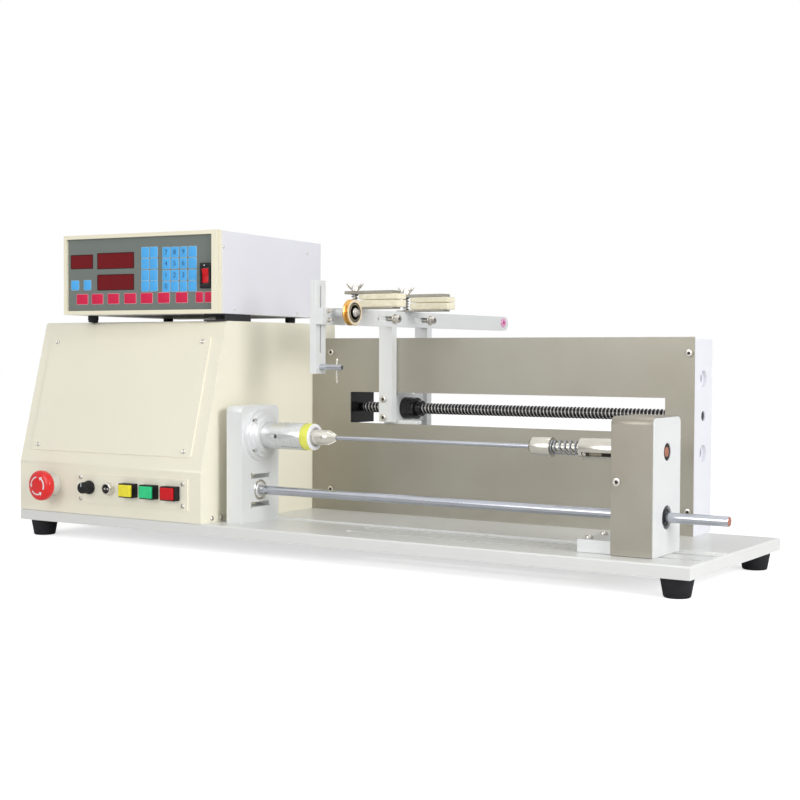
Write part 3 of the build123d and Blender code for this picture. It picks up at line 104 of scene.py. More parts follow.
# The spindle, with the drive shaft below it, from the headstock's face to the tailstock.
AXIS_Y, SPINDLE_Z, SHAFT_Z = 67.5, 109.3, 40
HEADSTOCK_FACE = 361
TAILSTOCK_X = 826
# The traverse: its back panel, the lead screw's axis and the arm that the carriage holds.
BACK_PANEL_FACE = 232.4
SCREW_Y, SCREW_Z = 261.75, 139.8
ARM_END, ARM_TOP, BOLT_Z = 458.4, 268.0, 257.85
POST_FACE = 438.6
STUD_X, STUDS = 453.4, {"front": 142.6, "rear": 262}
WHEEL_Y, WHEEL_Z = 94.3, 262.4
GUIDE_Y = 76.5
PLATE_THICKNESS = 2           # of the plates under the lower felts
# The base and its feet.
BASE_BOTTOM = -14
FEET = [(x, y) for x in (22.5, 937.5) for y in (22.5, 257.5)]


# ---------------------------------------------------------------- materials
def rgb(red, green, blue):
    """A colour picked in sRGB, as linear values."""
    def linear(value):
        value /= 255
        return value / 12.92 if value <= 0.04045 else ((value + 0.055) / 1.055) ** 2.4
    return (linear(red), linear(green), linear(blue), 1.0)


def shade(colour, factor):
    """A lighter or darker colour."""
    return tuple(min(1, part * factor) for part in colour[:3]) + (1,)


def add(tree, kind, settings, *ordered, **named):
    """A shader node; each of its inputs is a value, or the socket that feeds it."""
    node = tree.nodes.new(f"ShaderNode{kind}")
    for name, value in settings.items():
        setattr(node, name, value)
    for key, value in [*enumerate(ordered), *named.items()]:
        socket = node.inputs[key if isinstance(key, int) else key.replace("_", " ")]
        if isinstance(value, bpy.types.NodeSocket):
            tree.links.new(value, socket)
        else:
            socket.default_value = value
    return node


COLOURS = {"data_type": "RGBA"}
NOISE_RANGE = {"From_Min": 0.3, "From_Max": 0.7}


def surface(name, colour, rough, metal=0.0, blotch=0.05, blotch_scale=18, grain_scale=1500,
            stretch=(1, 1, 1), grain=0.06, bump=0.02, worn_lit_edge=None, edge_mark_size=0.5, tint=None,
            **sockets):
    """A finish with cloudy colour, fine grain in gloss and bump, and patchy edges in the edge
    colour, partly wear and partly painted edge highlight (painted edge shade where that colour is
    darker).
    """
    mat = bpy.data.materials.new(name)
    mat.use_nodes = True
    tree = mat.node_tree
    shader = tree.nodes["Principled BSDF"]
    shader.inputs["Metallic"].default_value = metal
    for key, value in sockets.items():
        shader.inputs[key.replace("_", " ")].default_value = value
    where = add(tree, "TexCoord", {}).outputs["Object"]
    clouds = add(tree, "TexNoise", {}, Scale=blotch_scale, Detail=5, Vector=where)
    cloudy = add(tree, "MapRange", {}, Value=clouds.outputs["Fac"],
                 **NOISE_RANGE).outputs["Result"]
    finished = add(tree, "Mix", COLOURS, A=tint or shade(colour, 1 - blotch),
                   B=shade(colour, 1 + blotch), Factor=cloudy).outputs["Result"]
    spread = add(tree, "Mapping", {}, Scale=stretch, Vector=where)
    fine = add(tree, "TexNoise", {}, Scale=grain_scale, Detail=3,
               Vector=spread.outputs["Vector"]).outputs["Fac"]
    gloss = add(tree, "MapRange", {}, Value=fine, To_Min=max(0.02, rough - grain),
                To_Max=min(1, rough + grain), **NOISE_RANGE)
    tree.links.new(gloss.outputs["Result"], shader.inputs["Roughness"])
    relief = add(tree, "Bump", {}, Strength=1, Distance=bump * MM, Height=fine)
    tree.links.new(relief.outputs["Normal"], shader.inputs["Normal"])
    if worn_lit_edge:
        # An edge shows where the softened normal leaves the true one; there the colour turns, in
        # patches, to the edge colour, which stands partly for wear and partly for painted light
        # on the edge.
        soft = add(tree, "Bevel", {"samples": 4}, Radius=edge_mark_size * MM)
        true = add(tree, "NewGeometry", {})
        match = add(tree, "VectorMath", {"operation": "DOT_PRODUCT"}, soft.outputs["Normal"],
                    true.outputs["Normal"])
        edge = add(tree, "MapRange", {}, Value=match.outputs["Value"], From_Min=0.995,
                   From_Max=0.90)
        patchy = add(tree, "Math", {"operation": "MULTIPLY"}, edge.outputs["Result"], cloudy)
        finished = add(tree, "Mix", COLOURS, A=finished, B=worn_lit_edge,
                       Factor=patchy.outputs["Value"]).outputs["Result"]
    tree.links.new(finished, shader.inputs["Base Color"])
    return mat


RINGS = (1, 0.02, 0.02)       # grain of a piece turned about X
# Edge colours paint light on edges: lighter ones are painted edge highlights, the faced steel's
# darker one is painted edge shade, and their patches also stand for wear.
cream = surface("cream_enamel", rgb(242, 238, 219), 0.42, blotch=0.015, blotch_scale=7,
                grain_scale=2600, bump=0.03, worn_lit_edge=rgb(240, 238, 226), Coat_Weight=0.1,
                Coat_Roughness=0.3)
pale = surface("pale_enamel", rgb(229, 229, 236), 0.38, blotch=0.012, blotch_scale=9,
               grain_scale=2400, bump=0.02, worn_lit_edge=rgb(250, 250, 250))
satin = surface("satin_plate", rgb(228, 229, 227), 0.32, metal=0.12, blotch=0.01,
                blotch_scale=4, grain_scale=2600, stretch=(0.2, 1, 1), grain=0.02, bump=0.001,
                worn_lit_edge=rgb(245, 245, 243))
aluminium = surface("milled_aluminium", rgb(232, 234, 234), 0.4, metal=0.25, blotch=0.015,
                    blotch_scale=30, grain_scale=1600, stretch=(1, 1, 0.3), grain=0.05,
                    bump=0.005, worn_lit_edge=rgb(246, 246, 246))
faced = surface("faced_steel", rgb(230, 231, 232), 0.3, metal=0.35, blotch=0.02,
                blotch_scale=50, grain_scale=2600, stretch=RINGS, grain=0.02, bump=0.0008,
                worn_lit_edge=rgb(180, 180, 178))
turned = surface("turned_steel", rgb(216, 218, 217), 0.26, metal=0.75, blotch=0.02,
                 blotch_scale=40, grain_scale=2600, stretch=RINGS, grain=0.02, bump=0.0008,
                 worn_lit_edge=rgb(245, 245, 243))
nickel = surface("bright_nickel", rgb(222, 218, 208), 0.16, metal=0.95, blotch=0.03,
                 blotch_scale=60, grain_scale=2500, stretch=RINGS, grain=0.05, bump=0.004)
ground = surface("ground_rod", rgb(184, 187, 194), 0.2, metal=1, blotch=0.05,
                 blotch_scale=25, grain_scale=1800, stretch=RINGS, grain=0.06, bump=0.004)
stainless = surface("brushed_stainless", rgb(182, 180, 173), 0.38, metal=0.5, blotch=0.05,
                    blotch_scale=1.6, grain_scale=1300, stretch=(0.15, 1, 1), grain=0.05,
                    bump=0.003, tint=rgb(146, 140, 122), worn_lit_edge=rgb(214, 212, 205))
cover_steel = surface("cover_stainless", rgb(166, 162, 151), 0.36, metal=0.6, blotch=0.03,
                      blotch_scale=6, grain_scale=1300, stretch=(1, 1, 0.2), grain=0.05,
                      bump=0.003, tint=rgb(146, 140, 126), worn_lit_edge=rgb(226, 226, 222))
hard_chrome = surface("hard_chrome", rgb(206, 202, 192), 0.2, metal=0.9, blotch=0.06,
                      blotch_scale=60, grain_scale=2500, stretch=RINGS, grain=0.06, bump=0.004)
screw_steel = surface("screw_steel", rgb(214, 210, 202), 0.24, metal=0.85, blotch=0.05,
                      blotch_scale=120, grain_scale=3000, grain=0.06, bump=0.004)
pale_screw = surface("zinc_screw", rgb(226, 224, 222), 0.35, metal=0.4, blotch=0.04,
                     blotch_scale=120, grain_scale=3000, grain=0.06, bump=0.004)
# Painted shade: a dark colour put at the bottom of screw sockets and in the gap round the guide
# wheel's bearing, where only shade falls.
socket_gap_shade = surface("socket_shadow", rgb(58, 54, 52), 0.5, metal=0.3, blotch=0.1)
oxide = surface("black_oxide", rgb(34, 33, 36), 0.2, metal=0.5, blotch=0.12,
                blotch_scale=50, grain_scale=1600, stretch=RINGS, bump=0.008,
                worn_lit_edge=rgb(120, 118, 116), edge_mark_size=0.3, Coat_Weight=0.25)
black_paint = surface("black_enamel", rgb(30, 30, 34), 0.45, blotch=0.1, blotch_scale=30,
                      bump=0.02, worn_lit_edge=rgb(70, 70, 74))
rubber = surface("foot_rubber", rgb(28, 28, 32), 0.62, blotch=0.12, blotch_scale=60,
                 grain_scale=2000, bump=0.04, Specular_IOR_Level=0.3)
black_plastic = surface("black_plastic", rgb(20, 20, 23), 0.4, blotch=0.1,
                        blotch_scale=70, grain_scale=3200, bump=0.015,
                        Specular_IOR_Level=0.3)
moulded = surface("moulded_bezel", rgb(238, 232, 208), 0.45, blotch=0.02, blotch_scale=14,
                  grain_scale=3000, bump=0.03, worn_lit_edge=rgb(246, 242, 226), edge_mark_size=0.9)
membrane = surface("membrane_film", rgb(114, 121, 116), 0.5, blotch=0.03, blotch_scale=25,
                   grain_scale=4000, bump=0.006, Specular_IOR_Level=0.25)
window_film = surface("display_window", rgb(112, 18, 24), 0.5, blotch=0.15, blotch_scale=400,
                      grain=0.03, bump=0.002, Specular_IOR_Level=0.15)
window_rim = surface("window_rim", rgb(60, 20, 24), 0.4, blotch=0.05, Specular_IOR_Level=0.2)
blue_key = surface("blue_key", rgb(84, 176, 240), 0.45, blotch=0.03, blotch_scale=60,
                   grain_scale=4000, bump=0.006, Specular_IOR_Level=0.2)
red_key = surface("red_key", rgb(214, 38, 78), 0.45, blotch=0.03, blotch_scale=60,
                  grain_scale=4000, bump=0.006, Specular_IOR_Level=0.2)
print_white = surface("print_white", rgb(225, 230, 230), 0.4, blotch=0.02)
print_pale = surface("key_outline", rgb(158, 196, 214), 0.45, blotch=0.02)
print_rose = surface("red_key_outline", rgb(226, 168, 176), 0.45, blotch=0.02)
print_dark = surface("print_dark", rgb(26, 52, 92), 0.5, blotch=0.04)
stop_red = surface("stop_red", rgb(226, 28, 30), 0.3, blotch=0.04, blotch_scale=50,
                   grain_scale=3000, bump=0.006, Coat_Weight=0.15)
collar_grey = surface("collar_grey", rgb(214, 213, 204), 0.38, blotch=0.03)
lamp_yellow = surface("lamp_yellow", rgb(240, 228, 50), 0.3, blotch=0.04, blotch_scale=90,
                      grain_scale=900, bump=0.01, Coat_Weight=0.1)
lamp_green = surface("lamp_green", rgb(38, 206, 134), 0.3, blotch=0.04, blotch_scale=90,
                     grain_scale=900, bump=0.01, Coat_Weight=0.1)
lamp_red = surface("lamp_red", rgb(206, 16, 26), 0.3, blotch=0.04, blotch_scale=90,
                   grain_scale=900, bump=0.01, Specular_IOR_Level=0.3)
yellow = surface("yellow_anodised", rgb(236, 238, 100), 0.4, metal=0.1, blotch=0.05,
                 blotch_scale=60, grain_scale=1800, stretch=RINGS, bump=0.008)
ring_white = surface("ring_white", rgb(236, 236, 240), 0.35, blotch=0.02)
brass = surface("turned_brass", rgb(222, 178, 104), 0.24, metal=1, blotch=0.06,
                blotch_scale=80, grain_scale=2400, stretch=RINGS, grain=0.07, bump=0.006,
                tint=rgb(196, 146, 76))
# Painted light: a much paler, less metallic copy of the brass for the guide wheel's flat faces,
# the seen one turned toward the key lamp.
lit_brass_face = surface("brass_face_painted_light", rgb(244, 230, 206), 0.36, metal=0.35, blotch=0.03,
                     blotch_scale=90, grain_scale=2400, bump=0.005,
                     tint=rgb(240, 218, 184))
felt = surface("pressed_felt", rgb(244, 238, 214), 0.95, blotch=0.03, blotch_scale=160,
               grain_scale=1500, grain=0.04, bump=0.16, tint=rgb(236, 228, 200),
               Sheen_Weight=0.3, Sheen_Roughness=0.6, Specular_IOR_Level=0.1)
ceramic = surface("glazed_ceramic", rgb(232, 150, 196), 0.15, blotch=0.05,
                  blotch_scale=200, Coat_Weight=0.5)
spring_steel = surface("drawn_wire", rgb(160, 164, 170), 0.26, metal=0.8, blotch=0.06,
                       blotch_scale=150, grain_scale=3000, bump=0.004)
copper = surface("copper_end", rgb(184, 122, 98), 0.4, metal=0.5, blotch=0.12,
                 blotch_scale=180)
lacquer = surface("board_lacquer", rgb(36, 110, 62), 0.3, blotch=0.1, blotch_scale=80)
belt_rubber = surface("belt_rubber", rgb(28, 28, 28), 0.7, blotch=0.1, bump=0.05)


# ---------------------------------------------------------------- shapes
TINY = 1e-6                   # a length that counts as none
ALMOST_STRAIGHT = pi / 2 - 0.01
FIGURE_RISE = 0.05


def soften(points, arc=4, loop=True):
    """A line whose corners with a third number are rounded to that radius."""
    out = []
    for i, point in enumerate(points):
        here = Vector(point[:2])
        radius = point[2] if len(point) > 2 else 0
        if not radius or (not loop and i in (0, len(points) - 1)):
            out.append((here.x, here.y))
            continue
        before = (Vector(points[i - 1][:2]) - here).normalized()
        after = (Vector(points[(i + 1) % len(points)][:2]) - here).normalized()
        half = before.angle(after) / 2
        if half > ALMOST_STRAIGHT:
            out.append((here.x, here.y))
            continue
        reach = radius / (sin(half) / cos(half))
        start, end = here + before * reach, here + after * reach
        centre = here + (before + after).normalized() * (radius / sin(half))
        for step in range(arc + 1):
            share = step / arc
            spot = start.lerp(end, share)
            spot = centre + (spot - centre).normalized() * radius
            out.append((spot.x, spot.y))
    return out


def rect(x, y, corner=0.0):
    """The four corners of a rectangle, each with its rounding."""
    return [(x[0], y[0], corner), (x[1], y[0], corner), (x[1], y[1], corner),
            (x[0], y[1], corner)]


def about(centre, half):
    """The two ends of a stretch, from its middle."""
    return (centre - half, centre + half)


def hexagon(across_flats):
    """A hexagon's reach at an angle."""
    return lambda angle: across_flats / 2 / cos((angle % (pi / 3)) - pi / 6)


def cross(length, width):
    """The reach of a cross with arms of these half sizes."""
    def reach(angle):
        lean = (angle + pi / 4) % (pi / 2) - pi / 4
        return min(length / cos(lean), width / max(abs(sin(lean)), TINY))
    return reach


def waves(radius, depth, count):
    """A round with grip grooves."""
    return lambda angle: radius - depth * (0.5 + 0.5 * cos(count * angle))


class Piece:
    """One visible piece: shells of several finishes in one mesh."""

    def __init__(self, name):
        self.name = name
        self.bm = bmesh.new()
        self.materials = []

    def number(self, material):
        """The slot number of a material in this piece."""
        if material not in self.materials:
            self.materials.append(material)
        return self.materials.index(material)

    def shell(self, rings, frame, material, closed=False):
        """Faces between rings, which have one point or the same count; open ends get caps."""
        index = self.number(material)
        made = [[self.bm.verts.new(frame @ Vector(point)) for point in ring] for ring in rings]
        pairs = list(zip(made, made[1:])) + ([(made[-1], made[0])] if closed else [])
        faces = []
        for first, second in pairs:
            count = max(len(first), len(second))
            for i in range(count):
                j = (i + 1) % count
                corners = []
                for vert in (first[i % len(first)], first[j % len(first)],
                             second[j % len(second)], second[i % len(second)]):
                    if vert not in corners:
                        corners.append(vert)
                if len(corners) > 2:
                    faces.append(self.bm.faces.new(corners))
        if not closed:
            for ring in (made[0], made[-1]):
                if len(ring) > 2:
                    faces.append(self.bm.faces.new(ring))
        for face in faces:
            face.material_index = index
        bmesh.ops.recalc_face_normals(self.bm, faces=faces)
        return self

    def lathe(self, frame, outline, material, steps=48, loop=False, arc=4):
        """A turned shape: (height, radius or shape, rounding) about the frame's z axis."""
        if not any(callable(point[1]) for point in outline):
            outline = soften(outline, arc, loop)
        angles = [tau * (step + 0.5) / steps for step in range(steps)]
        rings = []
        for height, radius in (point[:2] for point in outline):
            if not callable(radius) and radius < TINY:
                rings.append([(0, 0, height)])
                continue
            reach = [radius(a) if callable(radius) else radius for a in angles]
            rings.append([(r * cos(a), r * sin(a), height) for r, a in zip(reach, angles)])
        return self.shell(rings, frame, material, closed=loop)

    def prism(self, frame, outline, low, high, material, edge=0.0, arc=4, turns=3):
        """An outline pushed along the frame's z axis, its edges rounded."""
        line = soften(outline, arc)
        area = sum(a[0] * b[1] - b[0] * a[1] for a, b in zip(line, line[1:] + line[:1]))
        inward = []
        for i, here in enumerate(line):
            before, after = Vector(line[i - 1]), Vector(line[(i + 1) % len(line)])
            one = (Vector(here) - before).normalized()
            two = (after - Vector(here)).normalized()
            side = Vector((-one.y - two.y, one.x + two.x)).normalized()
            scale = 1 / max(0.5, side.dot(Vector((-one.y, one.x))))
            inward.append(side * scale * (1 if area > 0 else -1))

        def ring(height, inset):
            return [(x + way.x * inset, y + way.y * inset, height)
                    for (x, y), way in zip(line, inward)]
        if not edge:
            return self.shell([ring(low, 0), ring(high, 0)], frame, material)
        angles = [pi / 2 * turn / turns for turn in range(turns + 1)]
        rings = [ring(low + edge * (1 - cos(a)), edge * (1 - sin(a))) for a in angles]
        rings += [ring(high - edge * (1 - cos(a)), edge * (1 - sin(a)))
                  for a in reversed(angles)]
        return self.shell(rings, frame, material)

    def ring(self, frame, outer, inner, low, high, material, edge=0.3):
        """A prism with a hole; the two outlines have the same corners."""
        out, inn = soften(outer), soften(inner)

        def mix(share, height):
            return [(a[0] + (b[0] - a[0]) * share, a[1] + (b[1] - a[1]) * share, height)
                    for a, b in zip(out, inn)]
        gap = max((Vector(a) - Vector(b)).length for a, b in zip(out, inn))
        part = edge / gap
        bend = 0.3            # where the middle of a rounded edge lies, as a share of it
        rings = [mix(0, low), mix(0, high - edge), mix(part * bend, high - edge * bend),
                 mix(part, high), mix(1 - part, high),
                 mix(1 - part * bend, high - edge * bend), mix(1, high - edge), mix(1, low)]
        return self.shell(rings, frame, material, closed=True)

    def tube(self, frame, points, radius, material, sides=10):
        """A round wire along points."""
        points = [Vector(point) for point in points]
        rings, side = [], None
        for i, here in enumerate(points):
            ahead = points[min(i + 1, len(points) - 1)] - points[max(i - 1, 0)]
            ahead.normalize()
            if side is None:
                side = ahead.orthogonal().normalized()
            side = (side - ahead * side.dot(ahead)).normalized()
            other = ahead.cross(side)
            rings.append([here + (side * cos(a) + other * sin(a)) * radius
                          for a in (tau * step / sides for step in range(sides))])
        return self.shell(rings, frame, material)

    def text(self, frame, words, size, material):
        """Flat generic figures, raised a little."""
        curve = bpy.data.curves.new("figures", "FONT")
        curve.body, curve.size = words, size
        curve.align_x, curve.align_y = "CENTER", "CENTER"
        curve.extrude = FIGURE_RISE
        maker = bpy.data.objects.new("figures", curve)
        mesh = bpy.data.meshes.new_from_object(maker)
        verts = [self.bm.verts.new(frame @ v.co) for v in mesh.vertices]
        for polygon in mesh.polygons:
            face = self.bm.faces.new([verts[i] for i in polygon.vertices])
            face.material_index = self.number(material)
        bpy.data.objects.remove(maker)
        bpy.data.meshes.remove(mesh)
        bpy.data.curves.remove(curve)
        return self

    def done(self, body, slot, *replaced, crease=32):
        """Make the object, shade it, hang it on its body and hide the nodes it replaces."""
        mesh = bpy.data.meshes.new(self.name)
        self.bm.to_mesh(mesh)
        self.bm.free()
        for material in self.materials:
            mesh.materials.append(material)
        mesh.shade_smooth()
        mesh.set_sharp_from_angle(angle=radians(crease))
        piece = bpy.data.objects.new(self.name, mesh)
        bpy.context.scene.collection.objects.link(piece)
        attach(piece, body)
        if replaced:
            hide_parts(*replaced)
        return piece


def finish_node(node, material, bevel=0.0):
    """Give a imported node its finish, and break its sharp edges with modifiers."""
    piece = frame["nodes"][node]
    if not piece.material_slots:
        piece.data.materials.append(None)
    for slot in piece.material_slots:
        slot.link = "OBJECT"
        slot.material = material
    if bevel:
        weld = piece.modifiers.new("weld", "WELD")
        weld.merge_threshold = 0.002 * MM
        flat = piece.modifiers.new("flat", "DECIMATE")
        flat.decimate_type = "DISSOLVE"
        flat.angle_limit = radians(0.6)
        soft = piece.modifiers.new("soft", "BEVEL")
        soft.width = bevel * MM
        soft.segments = 2
        soft.limit_method = "ANGLE"
        soft.angle_limit = radians(40)


# ---------------------------------------------------------------- carried-over nodes
for node, material, bevel in (
        ("base_plate", satin, 0.5), ("housing_cover", cream, 0.4), ("housing_body", cream, 0.4),
        ("front_panels", cream, 0.4), ("controller_bezel", moulded, 0.5),
        ("controller_cover", pale, 0.6), ("controller_stand", black_paint, 0.4),
        ("control_electronics", lacquer, 0), ("headstock_plate", aluminium, 0.8),
        ("spindle_flange", faced, 0.4), ("shaft_bearing_block", aluminium, 0.3),
        ("drive_motors", black_paint, 0), ("drive_belts", belt_rubber, 0),
        ("traverse_back_panel", stainless, 0), ("traverse_end_plates", pale, 0.6),
        ("screw_support_block", oxide, 0.5), ("traverse_guide_rods", ground, 0.4),
        ("spindle", turned, 0.5), ("mandrel_rod", ground, 0), ("drive_shaft", ground, 0),
        ("motor_pulley", aluminium, 0), ("carriage_block", aluminium, 0.5),
        ("carriage_posts", aluminium, 0.5), ("guide_arm", aluminium, 0.5),
        ("front_pressure_plate", stainless, 0.3), ("rear_pressure_plate", stainless, 0.3),
        ("wire_guide_plate", aluminium, 0.5), ("tailstock_cover", cover_steel, 0.5),
        ("tailstock_frame", aluminium, 0.5), ("tail_spindle", hard_chrome, 0.5),
        ("tail_plunger", hard_chrome, 0.4), ("tail_drive_pulley", aluminium, 0),
        ("tail_belt", belt_rubber, 0)):
    finish_node(node, material, bevel)


# ---------------------------------------------------------------- screws
def pan_screw(piece, frame, radius, height, grip=3.0, finish=screw_steel):
    """A domed screw head with a cross recess, and its shank."""
    shank = 1.5
    bite = cross(radius * 0.62, radius * 0.16)
    piece.lathe(frame, [
        (height * 0.35, 0), (height * 0.35, cross(radius * 0.4, radius * 0.1)),
        (height * 0.99, bite), (height * 0.97, radius * 0.66), (height * 0.8, radius * 0.86),
        (height * 0.5, radius * 0.97), (height * 0.1, radius), (0, radius * 0.97),
        (0, shank), (-grip, shank), (-grip, 0)], finish, steps=64)


def cap_screw(piece, frame, radius, height, shank=2.5, grip=8.0, finish=screw_steel,
              socket=0.42):
    """A socket-head screw with its hexagon hole."""
    hole = hexagon(radius * 2 * socket)
    small = hexagon(radius * 2 * socket * 0.96)
    # The socket's floor is painted shade.
    piece.lathe(frame, [(height * 0.35, 0), (height * 0.4, small)], socket_gap_shade)
    piece.lathe(frame, [
        (height * 0.38, small), (height * 0.93, hole), (height, hexagon(radius * 2.1 * socket)),
        (height, radius * 0.88), (height * 0.93, radius * 0.97), (height * 0.85, radius),
        (height * 0.05, radius), (0, radius * 0.95), (0, shank), (-grip, shank),
        (-grip, 0)], finish, steps=48)


screws = Piece("frame_fasteners")
for x in (30, 289):
    for y in (24.5, 167.1):
        pan_screw(screws, place((x, y, 1.5), UP, base=SLOPE), 3.2, 1.6)
for x in (115.5, 292.5):
    for z in (20.5, 48.5):
        pan_screw(screws, place((x, PANEL_Y, z), FRONT), 3.2, 1.6)
for y in (21, 40):
    pan_screw(screws, place((HOUSING_END, y, 5), RIGHT), 3.2, 1.6)
for x in (353, 865.5):
    for z in (28, 214):
        cap_screw(screws, place((x, BACK_PANEL_FACE, z), FRONT), 4.5, 3, grip=9)
for side in (-18, 18):
    for lift in (-18, 18):
        cap_screw(screws, place((HEADSTOCK_FACE, AXIS_Y + side, SPINDLE_Z + lift), RIGHT), 3.2, 3,
                  shank=1.5)
for side in (-29.5, 29.5):
    cap_screw(screws, place((349, AXIS_Y + side, BASE_BOTTOM), DOWN), 5, 4.5, shank=3, grip=22,
              finish=oxide)
for x, y in FEET:
    cap_screw(screws, place((x, y, BASE_BOTTOM - 9.5), DOWN), 4.5, 3, grip=17)
screws.done("root", "screw_steel", "frame_screws")

# ---------------------------------------------------------------- feet
feet = Piece("moulded_feet")
for x, y in FEET:
    feet.lathe(place((x, y, BASE_BOTTOM), DOWN), [
        (0, 2.6), (0, 18, 0.8), (21.5, 14, 2.2), (21.5, 7.2, 0.6), (9.5, 7, 0), (9.5, 2.6)],
        rubber, steps=64, loop=True)
BOX_FEET = ((15.5, 42), (15.5, 210), (223, 210))   # the stand holds the fourth corner
for x, y in BOX_FEET:
    feet.lathe(place((x, y, 0), DOWN, base=BOX), [
        (0, 0), (0, 7, 0.4), (6.4, 7, 0.4), (6.4, 6.4), (7.2, 6.4), (9.1, 6.8, 0.9),
        (9.1, 0)], rubber, steps=32)
feet.done("root", "foot_rubber", "rubber_feet")

# ---------------------------------------------------------------- emergency stop
STOP = place((61, 0, CONTROL_Z), FRONT)
STOP_HEIGHT = 28
ARROW_LIFT, ARROW_DEPTH, ARROW_STEPS = 0.12, 0.4, 16
stop = Piece("emergency_stop_cap")


def dome(radius):
    """Height of the button's face at a radius."""
    return STOP_HEIGHT - 2.6 * (radius / 17) ** 2


stop.lathe(STOP, [(STOP_HEIGHT, 0), (dome(5), 5), (dome(10), 10), (dome(14), 14), (dome(17), 17),
                  (23.6, 19.3, 1.6), (21, 20, 1.2), (16, 19.6, 1), (14, 18.6, 0.5),
                  (14, 17.4), (23, 16.4), (24.4, 12), (24.4, 6), (-14, 6), (-14, 0)],
           stop_red, steps=72, arc=5)
for third in range(3):
    start, sweep = radians(98 + 120 * third), radians(76)
    tip = start + sweep
    angles = [start + sweep * step / ARROW_STEPS for step in range(ARROW_STEPS + 1)]
    bow = [(10.7, angle) for angle in angles] + [(12.5, angle) for angle in reversed(angles)]
    for arrow in (bow, [(8.9, tip), (14.3, tip), (11.6, tip + 0.34)]):
        top = [(r * cos(a), r * sin(a), dome(r) + ARROW_LIFT) for r, a in arrow]
        stop.shell([[(x, y, z - ARROW_DEPTH) for x, y, z in top], top], STOP, print_white)
stop.done("emergency_stop", "red_plastic", "emergency_stop_button")

# ---------------------------------------------------------------- panel fittings
fittings = Piece("control_fittings")
fittings.lathe(STOP, [(0, 6.3), (0, 15.5, 0.3), (3.4, 15.4, 0.5), (3.9, 14.9), (16, 14.2, 0.6),
                      (17.5, 13.6, 0.5), (17.5, 6.3)], collar_grey, steps=64, loop=True)
SOCKET = place((167, PANEL_Y, CONTROL_Z), FRONT)
fittings.lathe(SOCKET, [(0, 6), (0, 9, 0.4), (1.2, 9, 0.3), (1.6, 8.4), (6.2, 8.1, 0.8),
                        (7, 6.9, 0.3), (7, 6)], nickel, steps=48, loop=True)
fittings.lathe(SOCKET, [(-14, 0), (-14, 5.9), (5.6, 5.9, 0.3), (5.6, 0)], black_plastic)
for side in (-2.5, 2.5):
    fittings.lathe(place((side, 0, 0), UP, base=SOCKET), [
        (5.6, 1.6), (6.1, 1.5), (6.1, 0.9), (5.7, 0)], screw_steel, steps=20)
fittings.lathe(place((0, 3.4, 0), UP, base=SOCKET), [(5.6, 1.2), (6.4, 1), (6.4, 0)],
               black_plastic, steps=16)
for x in PUSH_BUTTONS.values():
    spot = place((x, PANEL_Y, CONTROL_Z), FRONT)
    fittings.ring(spot, rect((-12, 12), (-9, 9), 1), rect((-10.8, 10.8), (-7.8, 7.8), 0.6),
                  0, 10, black_plastic, edge=0.4)
    fittings.prism(spot, rect((-11.4, 11.4), (-8.4, 8.4), 0.5), 0, 2, black_plastic)
ROCKER = place((226.5, 1, 47.5), FRONT, base=BOX)
fittings.ring(ROCKER, rect((-8, 8), (-16, 16), 1), rect((-5.3, 5.3), (-10.3, 10.3), 0.4),
              -12, 0, black_plastic, edge=0.7)
fittings.lathe(place((-1, 12.9, 0), UP, base=ROCKER), [(-0.4, 0.9), (0.12, 0.9), (0.12, 0)],
               print_white, steps=20)
fittings.done("root", "black_plastic", "panel_fittings")

knob = Piece("speed_dial_knob")
KNOB = place((132, -1.8, CONTROL_Z), FRONT)
GRIPS = 18
knob.lathe(KNOB, [
    (-14, 0), (-14, 3), (0, 3), (0, 8.8), (0.5, 9), (3, 9), (4, waves(8.1, 0.3, GRIPS)),
    (4.6, waves(7.7, 0.6, GRIPS)), (14.6, waves(7.4, 0.6, GRIPS)), (15.6, 6.7), (16, 6.1),
    (15.7, 5.2), (15.6, 0)], black_plastic, steps=8 * GRIPS)
knob.prism(KNOB, rect((-0.45, 0.45), (1.6, 7.0), 0.2), 15.4, 16.1, print_white)
knob.done("speed_knob", "black_plastic", "speed_knob")

for (label, x), colour in zip(PUSH_BUTTONS.items(), (lamp_yellow, lamp_green, lamp_red)):
    lens = Piece(f"{label}_lens_button")
    spot = place((x, PANEL_Y, CONTROL_Z), FRONT)
    lens.prism(spot, rect((-10.5, 10.5), (-7.5, 7.5), 1.1), 4.8, 12.5, colour, edge=0.9)
    lens.ring(spot, rect((-8.6, 8.6), (-5.6, 5.6), 0.8), rect((-8, 8), (-5, 5), 0.6),
              12.3, 12.9, colour, edge=0.2)
    lens.lathe(spot, [(4.8, 3), (-9.2, 3), (-9.2, 0)], black_plastic, steps=24)
    lens.done(f"{label}_button", f"{label}_plastic", f"{label}_button")

# ---------------------------------------------------------------- controller face
KEY_RISE = 0.5


def grown(x, z, margin):
    """Two ranges made wider by a margin at both ends."""
    return (x[0] - margin, x[1] + margin), (z[0] - margin, z[1] + margin)


keypad = Piece("keypad_panel")
FACE = place((0, BEZEL_FRONT, 0), FRONT, base=BOX)
keypad.prism(FACE, rect((5, 237), (5, 99.4), 1.5), -2, 0, membrane)
for x, z in (((10.3, 45.5), (61.4, 78.1)), ((54.7, 112.7), (60.4, 79.5)),
             ((54.6, 112.6), (32.6, 51.4))):
    keypad.ring(FACE, rect(*grown(x, z, 1), 0.8), rect(x, z, 0.5), 0, 0.5, window_rim,
                edge=0.2)
    keypad.prism(FACE, rect(x, z, 0.5), 0, 0.25, window_film)


